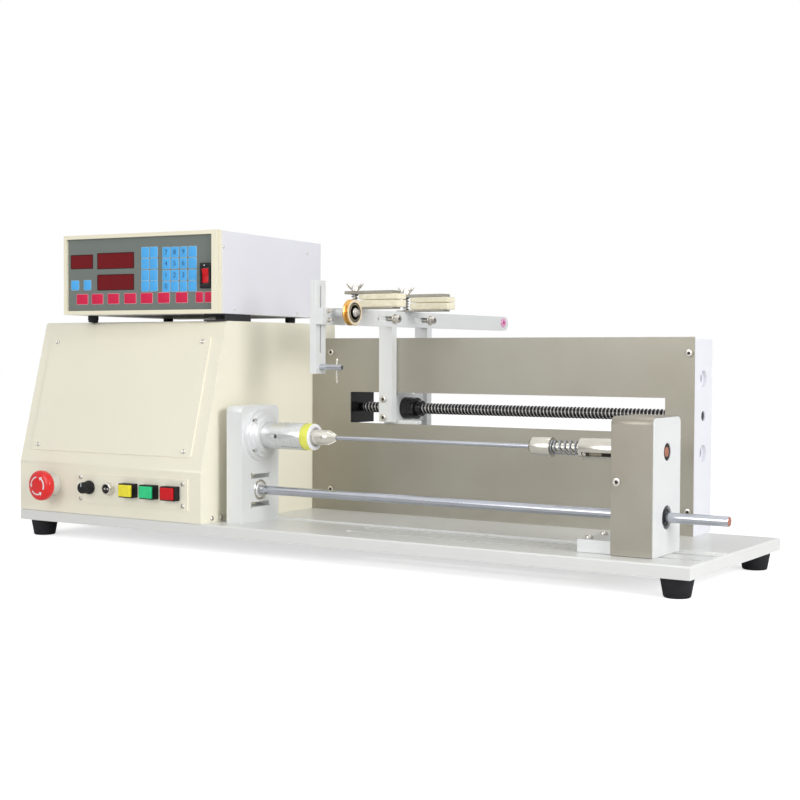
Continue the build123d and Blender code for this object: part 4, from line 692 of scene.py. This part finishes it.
def key(x, z, material, label=""):
    """A raised key with its pale outline and, on a number key, its figure."""
    outline = print_pale if material is blue_key else print_rose
    keypad.ring(FACE, rect(*grown(x, z, 0.5), 1.4), rect(*grown(x, z, -0.1), 1), -0.05, 0.22,
                outline, edge=0.1)
    keypad.prism(FACE, rect(x, z, 1), 0, KEY_RISE, material, edge=0.3, turns=2)
    if label:
        middle = (sum(x) / 2, sum(z) / 2, KEY_RISE)
        keypad.text(place(middle, UP, base=FACE), label, 8.8, print_dark)


for x, z in (((10.2, 22.8), (32.9, 45.1)), ((31.3, 42.9), (32.6, 45.3))):
    key(x, z, blue_key)
for x in ((125.6, 137.5), (139.1, 151)):
    for z in ((72.6, 85.8), (58.2, 71.3), (43.5, 56.5), (29.4, 42.7)):
        key(x, z, blue_key)
COLUMNS = ((158.9, 170.7), (172.2, 183.9), (186.2, 197.1), (199.4, 211.7))
ROWS = ((71.7, 84.8), (57.4, 70.4), (42.5, 55.4), (28.4, 41.2))
for z, figures in zip(ROWS, ("789", "456", "123", "0")):
    for x, label in zip(COLUMNS, figures.ljust(len(COLUMNS))):
        key(x, z, blue_key, label.strip())
for x in ((19.4, 37.8), (44.6, 62.8), (71, 89), (98, 116.6), (124.6, 143), (151.7, 169.8),
          (180, 197.8), (210.9, 221.6), (224.7, 235)):
    key(x, (14, 27), red_key)
keypad.done("root", "keypad_membrane", "controller_keypad")

rocker = Piece("rocker_paddle")
rocker.prism(place((-4.9, 0, 0), RIGHT, (0, 1, 0), base=ROCKER), [
    (8.8, -6), (8.8, 0.6, 0.8), (0, -1.6, 9), (-9.4, -1.2, 0.8), (-9.4, -6)], 0, 9.8,
    lamp_red, edge=0.3, arc=6)
rocker.done("rocker", "red_plastic", "rocker_switch")

# ---------------------------------------------------------------- spindle line
ring = Piece("yellow_ring")
NOSE_END = place((434, AXIS_Y, SPINDLE_Z), RIGHT)
ring.lathe(NOSE_END, [
    (0, 12), (0, 16.3, 0.4), (11.8, 16.5, 0.2), (11.8, 12)], yellow, steps=64, loop=True)
ring.lathe(NOSE_END, [
    (11.8, 12), (11.8, 16.4), (12.5, 16.2, 0.3), (13, 15.2, 0.3), (13, 11.2, 0.3),
    (11.4, 10.4), (10.6, 10.4), (10.6, 12)], ring_white, steps=64, loop=True)
ring.done("spindle", "yellow_ring", "spindle_ring")

JAWS, FIRST_SLIT = 3, 0.5     # count of the jaws, and the angle of a slit between two


def jaws(radius, depth=1.1, width=0.09):
    """A round with narrow slits."""
    def reach(angle):
        lean = (angle - FIRST_SLIT + pi / JAWS) % (tau / JAWS) - pi / JAWS
        return radius - (depth if abs(lean) < width else 0)
    return reach


def radial(x, radius, angle):
    """A frame that points out from the spindle's axis."""
    out = (0, cos(angle), sin(angle))
    return place((x, AXIS_Y + radius * out[1], SPINDLE_Z + radius * out[2]), out)


chuck = Piece("collet_jaws")
CHUCK = place((447, AXIS_Y, SPINDLE_Z), RIGHT)
chuck.lathe(CHUCK, [
    (-11, 0), (-11, 8), (-1, 8), (-1, 8.9), (-0.6, 9.25), (12.6, 9.25), (13, 8.9), (13.6, 8.9),
    (14, jaws(9.25, 0.5)), (21.4, jaws(9.2, 0.8)), (22, jaws(9.0)), (27, jaws(6.7)),
    (31.9, jaws(4.1, 0.7, 0.14)), (32.5, jaws(3.6, 0.5, 0.14)), (32.5, 2.55), (14, 2.55)],
    nickel, steps=180)
for x, angle in ((455, 2.89), (462.5, 3.1), (455, 0.8), (455, 5)):
    cap_screw(chuck, radial(x, 9, angle), 2.2, 0.5, shank=1.5, grip=2, socket=0.5)
chuck.done("spindle", "polished_steel", "collet_chuck")

plugs = Piece("nose_set_screws")
for x, size in ((397.3, 1), (430.6, 0.7)):
    for quarter in range(4):
        plugs.lathe(radial(x, 12.4, radians(169 + 90 * quarter)), [
            (-1, 0), (-1, 2.4 * size), (1.2, 2.4 * size), (1.4, 2.2 * size),
            (1.4, hexagon(2.6 * size)), (0.2, hexagon(2.5 * size)), (0.2, 0)], oxide, steps=24)
plugs.done("spindle", "screw_steel")

bearing = Piece("shaft_bearing_rings")
SHAFT = place((HEADSTOCK_FACE, AXIS_Y, SHAFT_Z), RIGHT)
bearing.lathe(SHAFT, [(-0.9, 10.4), (0.5, 10.4), (0.7, 10.8), (0.7, 12.4), (0.4, 12.8),
                      (-0.9, 12.8)], nickel, steps=64, loop=True)
bearing.lathe(SHAFT, [(-0.9, 8.6), (-0.4, 8.6), (-0.4, 10.3), (-0.9, 10.3)], black_plastic,
              steps=64, loop=True)
bearing.lathe(SHAFT, [(-0.9, 5.7), (0.3, 5.7), (0.5, 5.9), (0.5, 8.2), (0.3, 8.5),
                      (-0.9, 8.5)], pale_screw, steps=64, loop=True)
bearing.done("root", "polished_steel")

# ---------------------------------------------------------------- lead screw and nut
thread = Piece("threaded_screw")
SCREW = place((0, SCREW_Y, SCREW_Z), RIGHT, BACK)
PITCH, ROOT, CREST, STEPS = 5.0, 6.0, 7.25, 24
THREAD_START, TURNS = 386, 94
profile = [(0, ROOT), (0.7, ROOT + 0.05), (1.35, CREST - 0.35), (1.75, CREST),
           (3.1, CREST), (3.5, CREST - 0.35), (4.2, ROOT + 0.05), (PITCH, ROOT)]
rows = []
for step in range(TURNS * STEPS + 1):
    turn = step / STEPS
    fade = min(1, turn, TURNS - turn)
    start = THREAD_START + PITCH * turn
    rows.append([((ROOT + (radius - ROOT) * fade) * cos(tau * turn),
                  (ROOT + (radius - ROOT) * fade) * sin(tau * turn), start + along)
                 for along, radius in profile])
verts = [[thread.bm.verts.new(SCREW @ Vector(point)) for point in row] for row in rows]
# Painted highlight: the thread's roots take the pale zinc finish, standing for white glints
# between the black oxide threads.
thread.materials += [oxide, pale_screw]
for first, second in zip(verts, verts[1:]):
    for i in range(len(profile) - 1):
        face = thread.bm.faces.new((first[i], first[i + 1], second[i + 1], second[i]))
        face.material_index = 1 if i in (0, len(profile) - 2) else 0
bmesh.ops.remove_doubles(thread.bm, verts=thread.bm.verts, dist=1e-7)
bmesh.ops.recalc_face_normals(thread.bm, faces=thread.bm.faces)
thread.lathe(SCREW, [
    (330, 0), (330, 5), (THREAD_START, 5), (THREAD_START, 5.95), (858, 5.95), (864, 6),
    (870.2, 5.95, 0.3), (870.2, 0)], oxide, steps=48)
thread.done("lead_screw", "thread_steel", "lead_screw", crease=50)

nut = Piece("traverse_nut")
NUT = place((453, SCREW_Y, SCREW_Z), RIGHT, BACK)
nut.lathe(NUT, [
    (0, 7.5), (0, 14.1), (0.5, 14.5), (2, 14.5), (2.4, waves(14.5, 0.5, 40)),
    (14, waves(14.5, 0.5, 40)), (14.4, 14.5), (19.4, 14.5), (20, 13.9), (20.2, 10.5),
    (27.5, 10.5), (28, 10), (28, 7.5)], oxide, steps=160, loop=True)
nut.done("carriage", "black_metal", "lead_screw_nut")

# ---------------------------------------------------------------- arm hardware
hardware = Piece("arm_fasteners")
for y in (226.1, 314):
    hardware.lathe(place((POST_FACE, y, BOLT_Z), LEFT), [
        (0, 3), (0, hexagon(8.8)), (3.6, hexagon(8.8)), (4.2, hexagon(8.2)), (4.2, 0)],
        screw_steel)
    hardware.lathe(place((POST_FACE, y, BOLT_Z), RIGHT), [(0, 0), (0, 3), (24, 3)],
                   screw_steel, steps=24)
    hardware.lathe(place((ARM_END, y, BOLT_Z), RIGHT), [
        (0, 3.1), (0, 6.7, 0.3), (1.3, 6.7, 0.3), (1.3, 3.1)], screw_steel, loop=True)
    cap_screw(hardware, place((ARM_END + 1.3, y, BOLT_Z), RIGHT), 4.9, 7.4, shank=3, grip=1)
for z in (253, 264):
    cap_screw(hardware, place((439, GUIDE_Y, z), LEFT), 3.2, 4.6, shank=1.4, grip=3)
    hardware.lathe(place((448, GUIDE_Y, z), RIGHT), [
        (-9, 0), (-9, 1.4), (17.6, 1.4), (18, 1.1), (18, 0)], screw_steel, steps=20)
    hardware.lathe(place((ARM_END, GUIDE_Y, z), RIGHT), [
        (0, 1.5), (0, hexagon(5.2)), (2.4, hexagon(5.2)), (2.6, hexagon(4.8)), (2.6, 1.5)],
        screw_steel, loop=True)
for y in STUDS.values():
    hardware.lathe(place((STUD_X, y, 256), UP), [
        (0, 0), (0, 2.5), (42.6, 2.5), (43, 2.1), (43, 0)], screw_steel, steps=32)
    for level in range(7):
        hardware.lathe(place((STUD_X, y, 291.4 + level), UP), [
            (0, 2.45), (0.35, 2.62), (0.65, 2.62), (1, 2.45)], screw_steel, steps=24)
    hardware.prism(place((0, 0, ARM_TOP), UP), rect((444, 516), about(y, 10), 1), 0,
                   PLATE_THICKNESS, stainless, edge=0.3, turns=2)
hardware.lathe(place((443.9, WHEEL_Y, WHEEL_Z), RIGHT), [
    (0, 0), (0, hexagon(8.6)), (4.5, hexagon(8.8)), (4.5, 3), (48.2, 3), (48.6, 2.6),
    (48.6, 0)], screw_steel)
hardware.lathe(place((ARM_END, WHEEL_Y, WHEEL_Z), RIGHT), [
    (0, 3), (0, 4.5, 0.2), (9.6, 4.5, 0.3), (10, 4.0), (10.6, 4.0), (11, 4.5, 0.3),
    (22, 4.5, 0.2), (22, 3)], aluminium, loop=True)
HUB = place((479, WHEEL_Y, WHEEL_Z), RIGHT)
# The dark ring in the gap round the bearing is painted shadow.
hardware.lathe(HUB, [(1.4, 3), (1.4, 9.4), (5.2, 9.4), (5.2, 9.0), (4.6, 8.8), (4.6, 3)],
               socket_gap_shade, steps=48, loop=True)
hardware.lathe(HUB, [(4.6, 3), (4.6, 8.6), (6.4, 8.6, 0.4), (6.4, 6.6), (5.9, 6.4),
                     (5.9, 3)], pale_screw, steps=48, loop=True)
hardware.lathe(HUB, [(5.9, 3), (5.9, 5.6), (9.2, 5.6, 0.3), (9.2, 3)], screw_steel, steps=48,
               loop=True)
cap_screw(hardware, place((488.2, WHEEL_Y, WHEEL_Z), RIGHT), 3.6, 2.6, shank=3, grip=1,
          finish=pale_screw, socket=0.45)
for face, way in ((220.1, FRONT), (320, BACK)):
    for z in (128.25, 152.25):
        cap_screw(hardware, place((446.5, face, z), way), 4.5, 3, grip=20)
hardware.done("carriage", "screw_steel", "arm_hardware")

wheel = Piece("brass_guide_wheel")
wheel.lathe(HUB, [(0, 9.5), (0, 15.6), (0.4, 16, 0.2), (1.3, 16, 0.3), (2.2, 14.6), (3.5, 12.4),
                  (4, 12.1), (4.5, 12.4), (5.8, 14.6), (6.7, 16, 0.3), (7.6, 16, 0.2),
                  (8, 15.6)], brass, steps=96)
# The wheel's flat faces take the paler brass: painted light on the side toward the key lamp.
wheel.lathe(HUB, [(8, 15.6), (8.05, 15.5), (8.05, 12.3), (7.7, 11.9), (7.7, 10.6), (8.05, 10.2),
                  (8.05, 9.7), (7.8, 9.5), (0, 9.5), (0, 15.6)], lit_brass_face, steps=96)
wheel.done("guide_pulley", "brass", "guide_pulley")

eyelet = Piece("ceramic_eyelet")
eyelet.lathe(place((446.4, 521.5, 259), RIGHT), [
    (0.6, 2.6), (0, 4.2), (0, 5.6), (0.8, 6.4), (1.6, 6.4), (2, 5), (12, 5), (12.4, 6.4),
    (13.2, 6.4), (14, 5.6), (14, 4.2), (13.4, 2.6)], ceramic, steps=48, loop=True)
eyelet.done("carriage", "eyelet_ceramic", "wire_eyelet")

# ---------------------------------------------------------------- felts, springs, wing nuts
LOWER, UPPER = (ARM_TOP + PLATE_THICKNESS, 279.4), (279.6, 287.1)
FELT_X, FELT_LENGTH, FELT_WIDTH, FELT_EDGE, NAP = 495, 58, 21.6, 1.6, 0.12


def felt_block(name, y, heights, body, node):
    """A felt strip: soft rounded edges and a slightly uneven nap."""
    block = Piece(name)
    low, high = heights
    sizes = (FELT_LENGTH, FELT_WIDTH, high - low)
    bm = block.bm
    bmesh.ops.create_cube(bm, size=1)
    bmesh.ops.subdivide_edges(bm, edges=bm.edges[:], cuts=6, use_grid_fill=True)
    for vert in bm.verts:
        across = vert.co.y * 2
        point = Vector(size * share for size, share in zip(sizes, vert.co))
        core = Vector(max(FELT_EDGE - size / 2, min(size / 2 - FELT_EDGE, reach))
                      for size, reach in zip(sizes, point))
        off = point - core
        if off.length > TINY:
            point = core + off.normalized() * min(FELT_EDGE, off.length)
        ripple = sin(point.x * 0.9 + y) * sin(point.y * 1.3 + low) * NAP
        point.y += across * ripple
        vert.co = MACHINE @ (point + Vector((FELT_X, y, (low + high) / 2)))
    block.materials.append(felt)
    made = block.done(body, "felt", node, crease=60)


def coil_line(low, high, turns, radius, closed, steps):
    """A spring's centre line; each end stays flat for the closed share of its length."""
    points = []
    for step in range(int(turns * steps) + 1):
        share = step / (turns * steps)
        angle = tau * turns * share
        climb = min(1, max(0, (share - closed) / (1 - 2 * closed)))
        points.append((radius * cos(angle), radius * sin(angle), low + climb * (high - low)))
    return points


TENSION_WIRE = 0.5            # radius of the tension springs' wire
for label, y in STUDS.items():
    felt_block(f"{label}_lower_felt", y, LOWER, "carriage", "lower_felts")
for label, y in STUDS.items():
    felt_block(f"{label}_pressed_felt", y, UPPER, f"{label}_pressure", f"{label}_upper_felt")
    spring = Piece(f"{label}_coil_spring")
    line = coil_line(LOWER[0] + TENSION_WIRE, UPPER[1] - TENSION_WIRE, 6, 4.1, 0.12, 24)
    spring.tube(place((STUD_X, y, 0), UP), line, TENSION_WIRE, spring_steel, sides=10)
    spring.done("carriage", "spring_steel", f"{label}_tension_spring")

    wing = Piece(f"{label}_wing_nut_body")
    base = place((STUD_X, y, 291.2), UP)
    wing.lathe(base, [(0, 2.62), (0, 4.6, 0.3), (1, 4.6, 0.3), (5.8, 3.9, 0.5), (6.6, 3.7),
                      (6.6, 2.62)], screw_steel, steps=40, loop=True)
    for side in (-1, 1):
        blade = place((0, 0, 0), BACK, (side, 0, 0), base=base)
        outline = [(3.2, 1.0), (5.6, 1.2, 1), (9.2, 4.4, 2), (12.9, 8.6, 1), (12.4, 10.2, 0.8),
                   (10.4, 10.0, 1.2), (7.6, 7.6, 1.6), (5, 5.6, 1.5), (3.2, 5.4)]
        outline = [(p[0], -side * p[1], *p[2:]) for p in outline]
        wing.prism(blade, outline, -1.1, 1.1, nickel, edge=0.5, arc=5)
    wing.done(f"{label}_wing_nut", "screw_steel", f"{label}_wing_nut")

# ---------------------------------------------------------------- wire tip
tip = Piece("wire_tip")
TIP = place((448.2, GUIDE_Y, 195), RIGHT)
tip.lathe(TIP, [(0, 0), (0, 3.5), (0.3, 3.65), (31.4, 3.65), (32, 3.1), (32, hexagon(3.4)),
                (30, hexagon(3.2)), (30, 0)], ground, steps=48)
tip.lathe(place((473, GUIDE_Y, 176), UP), [
    (0, 0.6), (0, 0.95), (3, 1.4, 0.4), (28, 1.4, 0.3), (29.5, 1.0), (29.5, 0.6)],
    nickel, steps=24, loop=True)
tip.done("wire_guide", "polished_steel", "wire_guide_tip")

# ---------------------------------------------------------------- tailstock details
clamp = Piece("tailstock_fasteners")
cap_screw(clamp, place((866, 30.25, 77.8), FRONT), 4.5, 1.5, shank=2.5, grip=9)
for y in (48.5, 86.5):
    cap_screw(clamp, place((TAILSTOCK_X, y, 14), UP), 4.5, 3, grip=28)
clamp.lathe(place((TAILSTOCK_X, AXIS_Y, BASE_BOTTOM - 0.3), DOWN), [
    (0, 0), (0, 23.6), (0.5, 24), (2, 24), (2.8, 23.2), (8.4, 12.8), (9, 11.8),
    (9, hexagon(10)), (6.5, hexagon(9.6)), (6.5, 0)], nickel, steps=72)
clamp.done("tailstock", "screw_steel", "tailstock_clamp")

spring = Piece("tail_coil_spring")
SPRING_START, SPRING_END, TAIL_WIRE = 772, 808, 0.9
line = coil_line(SPRING_START + TAIL_WIRE, SPRING_END - TAIL_WIRE, 6.5, 7.4, 0.09, 32)
spring.tube(place((0, AXIS_Y, SPINDLE_Z), RIGHT), line, TAIL_WIRE, spring_steel, sides=12)
coiled = spring.done("tail_spindle", "spring_steel", "tail_spring")
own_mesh(coiled)

ends = Piece("tail_bearing_faces")
ends.lathe(place((906.2, AXIS_Y, SPINDLE_Z), RIGHT), [
    (-4, 0), (-4, 5.4), (0, 5.4), (0.3, 5.1), (0.3, 0)], copper, steps=40)
ends.lathe(place((906.1, AXIS_Y, SPINDLE_Z), RIGHT), [
    (-0.4, 5.5), (0, 5.5), (0, 9.2), (-0.4, 9.2)], black_plastic, steps=48, loop=True)
ends.done("tail_spindle", "polished_steel")
lining = Piece("tail_shaft_lining")
lining.lathe(place((906.4, AXIS_Y, SHAFT_Z), RIGHT), [
    (-0.5, 6.1), (0, 6.1), (0, 9.3), (-0.5, 9.3)], black_plastic, steps=48, loop=True)
lining.done("tailstock", "black_plastic")
shaft_end = Piece("drive_shaft_end")
shaft_end.lathe(place((976, AXIS_Y, SHAFT_Z), RIGHT), [
    (-0.4, 0), (-0.4, 4.9), (0, 4.9), (0.02, 4.7), (0.02, 0)], copper, steps=40)
shaft_end.done("drive_shaft", "stainless")

# ---------------------------------------------------------------- controller side screws
cover_screws = Piece("controller_screws")
for y, z in ((15.4, 84), (39.5, 6), (218.7, 88.9), (192.3, 5.7)):
    pan_screw(cover_screws, place((BOX_WIDTH, y, z), RIGHT, BACK, base=BOX), 2.6, 1.0,
              grip=1.4, finish=pale_screw)
cover_screws.done("root", "screw_steel")

# ---------------------------------------------------------------- stage, light, camera
def seen(tree):
    """1 for rays from the camera or through glass, else 0."""
    rays = add(tree, "LightPath", {})
    most = add(tree, "Math", {"operation": "MAXIMUM"}, rays.outputs["Is Camera Ray"],
               rays.outputs["Is Transmission Ray"])
    return most.outputs["Value"]


FLOOR_REACH = 12
floor_mesh = bpy.data.meshes.new("floor")
floor_mesh.from_pydata([(-FLOOR_REACH, -FLOOR_REACH, 0), (FLOOR_REACH, -FLOOR_REACH, 0),
                        (FLOOR_REACH, FLOOR_REACH, 0), (-FLOOR_REACH, FLOOR_REACH, 0)],
                       [], [(0, 1, 2, 3)])
floor = bpy.data.objects.new("floor", floor_mesh)
bpy.context.scene.collection.objects.link(floor)
paper = bpy.data.materials.new("white_paper")
paper.use_nodes = True
tree = paper.node_tree
tree.nodes.remove(tree.nodes["Principled BSDF"])
matt = add(tree, "BsdfDiffuse", {}, Color=(0.86, 0.86, 0.86, 1))
# The floor glows only where the camera sees it, so that it meets the white behind it.
level = add(tree, "Math", {"operation": "MULTIPLY"}, seen(tree), 0.62)
glow = add(tree, "Emission", {}, Strength=level.outputs["Value"])
both = add(tree, "AddShader", {}, matt.outputs["BSDF"], glow.outputs["Emission"])
tree.links.new(both.outputs["Shader"], tree.nodes["Material Output"].inputs["Surface"])
floor_mesh.materials.append(paper)

world = bpy.data.worlds.new("studio")
bpy.context.scene.world = world
world.use_nodes = True
tree = world.node_tree
# Polished metal sees a studio that is bright above and dim at its walls.
heading = add(tree, "TexCoord", {}).outputs["Generated"]
height = add(tree, "SeparateXYZ", {}, Vector=heading).outputs["Z"]
studio = add(tree, "MapRange", {}, Value=height, From_Min=0.0, From_Max=0.55, To_Min=0.4,
             To_Max=1.15)
glossy = add(tree, "LightPath", {}).outputs["Is Glossy Ray"]
glint = add(tree, "Mix", {}, A=0.45, B=studio.outputs["Result"], Factor=glossy)
strength = add(tree, "Mix", {}, A=glint.outputs["Result"], B=1.0, Factor=seen(tree))
background = tree.nodes["Background"]
background.inputs["Color"].default_value = (1, 1, 1, 1)
tree.links.new(strength.outputs["Result"], background.inputs["Strength"])


def lamp(name, spot, target, size, power):
    """A round lamp that shines at a target."""
    light = bpy.data.lights.new(name, "AREA")
    light.shape = "DISK"
    light.size = size
    light.energy = power
    holder = bpy.data.objects.new(name, light)
    holder.location = spot
    holder.rotation_euler = (Vector(target) - Vector(spot)).to_track_quat("-Z", "Y").to_euler()
    bpy.context.scene.collection.objects.link(holder)


lamp("key", (3.0, -0.9, 1.1), (0.1, 0, 0.1), 1.4, 58)
lamp("fill", (-0.5, -3.0, 1.0), (0, -0.1, 0.15), 1.8, 24)
lamp("top", (0.3, 0.2, 2.8), (0.1, 0, 0.1), 1.4, 8)

# The camera stands where the photo was taken from, in the machine's own millimetres.
VIEW_FROM = (1492.7, -1355.9, 209.7)
AZIMUTH, PITCH_DOWN, ROLL = radians(32.936), radians(1.767), radians(0.221)
camera_data = bpy.data.cameras.new("photo_view")
camera_data.sensor_width = 36
camera_data.lens = 64.647
camera_data.clip_start = 0.05
camera = bpy.data.objects.new("photo_view", camera_data)
ahead = Vector((-sin(AZIMUTH) * cos(PITCH_DOWN), cos(AZIMUTH) * cos(PITCH_DOWN),
                -sin(PITCH_DOWN)))
right = Vector((cos(AZIMUTH), sin(AZIMUTH), 0))
above = right.cross(ahead)
turned_right = right * cos(ROLL) + above * sin(ROLL)
turned_up = above * cos(ROLL) - right * sin(ROLL)
camera.matrix_world = Matrix.Translation(MACHINE @ Vector(VIEW_FROM)) @ Matrix(
    (turned_right, turned_up, -ahead)).transposed().to_4x4()
bpy.context.scene.collection.objects.link(camera)
bpy.context.scene.camera = camera
bpy.context.scene.view_settings.view_transform = "Standard"
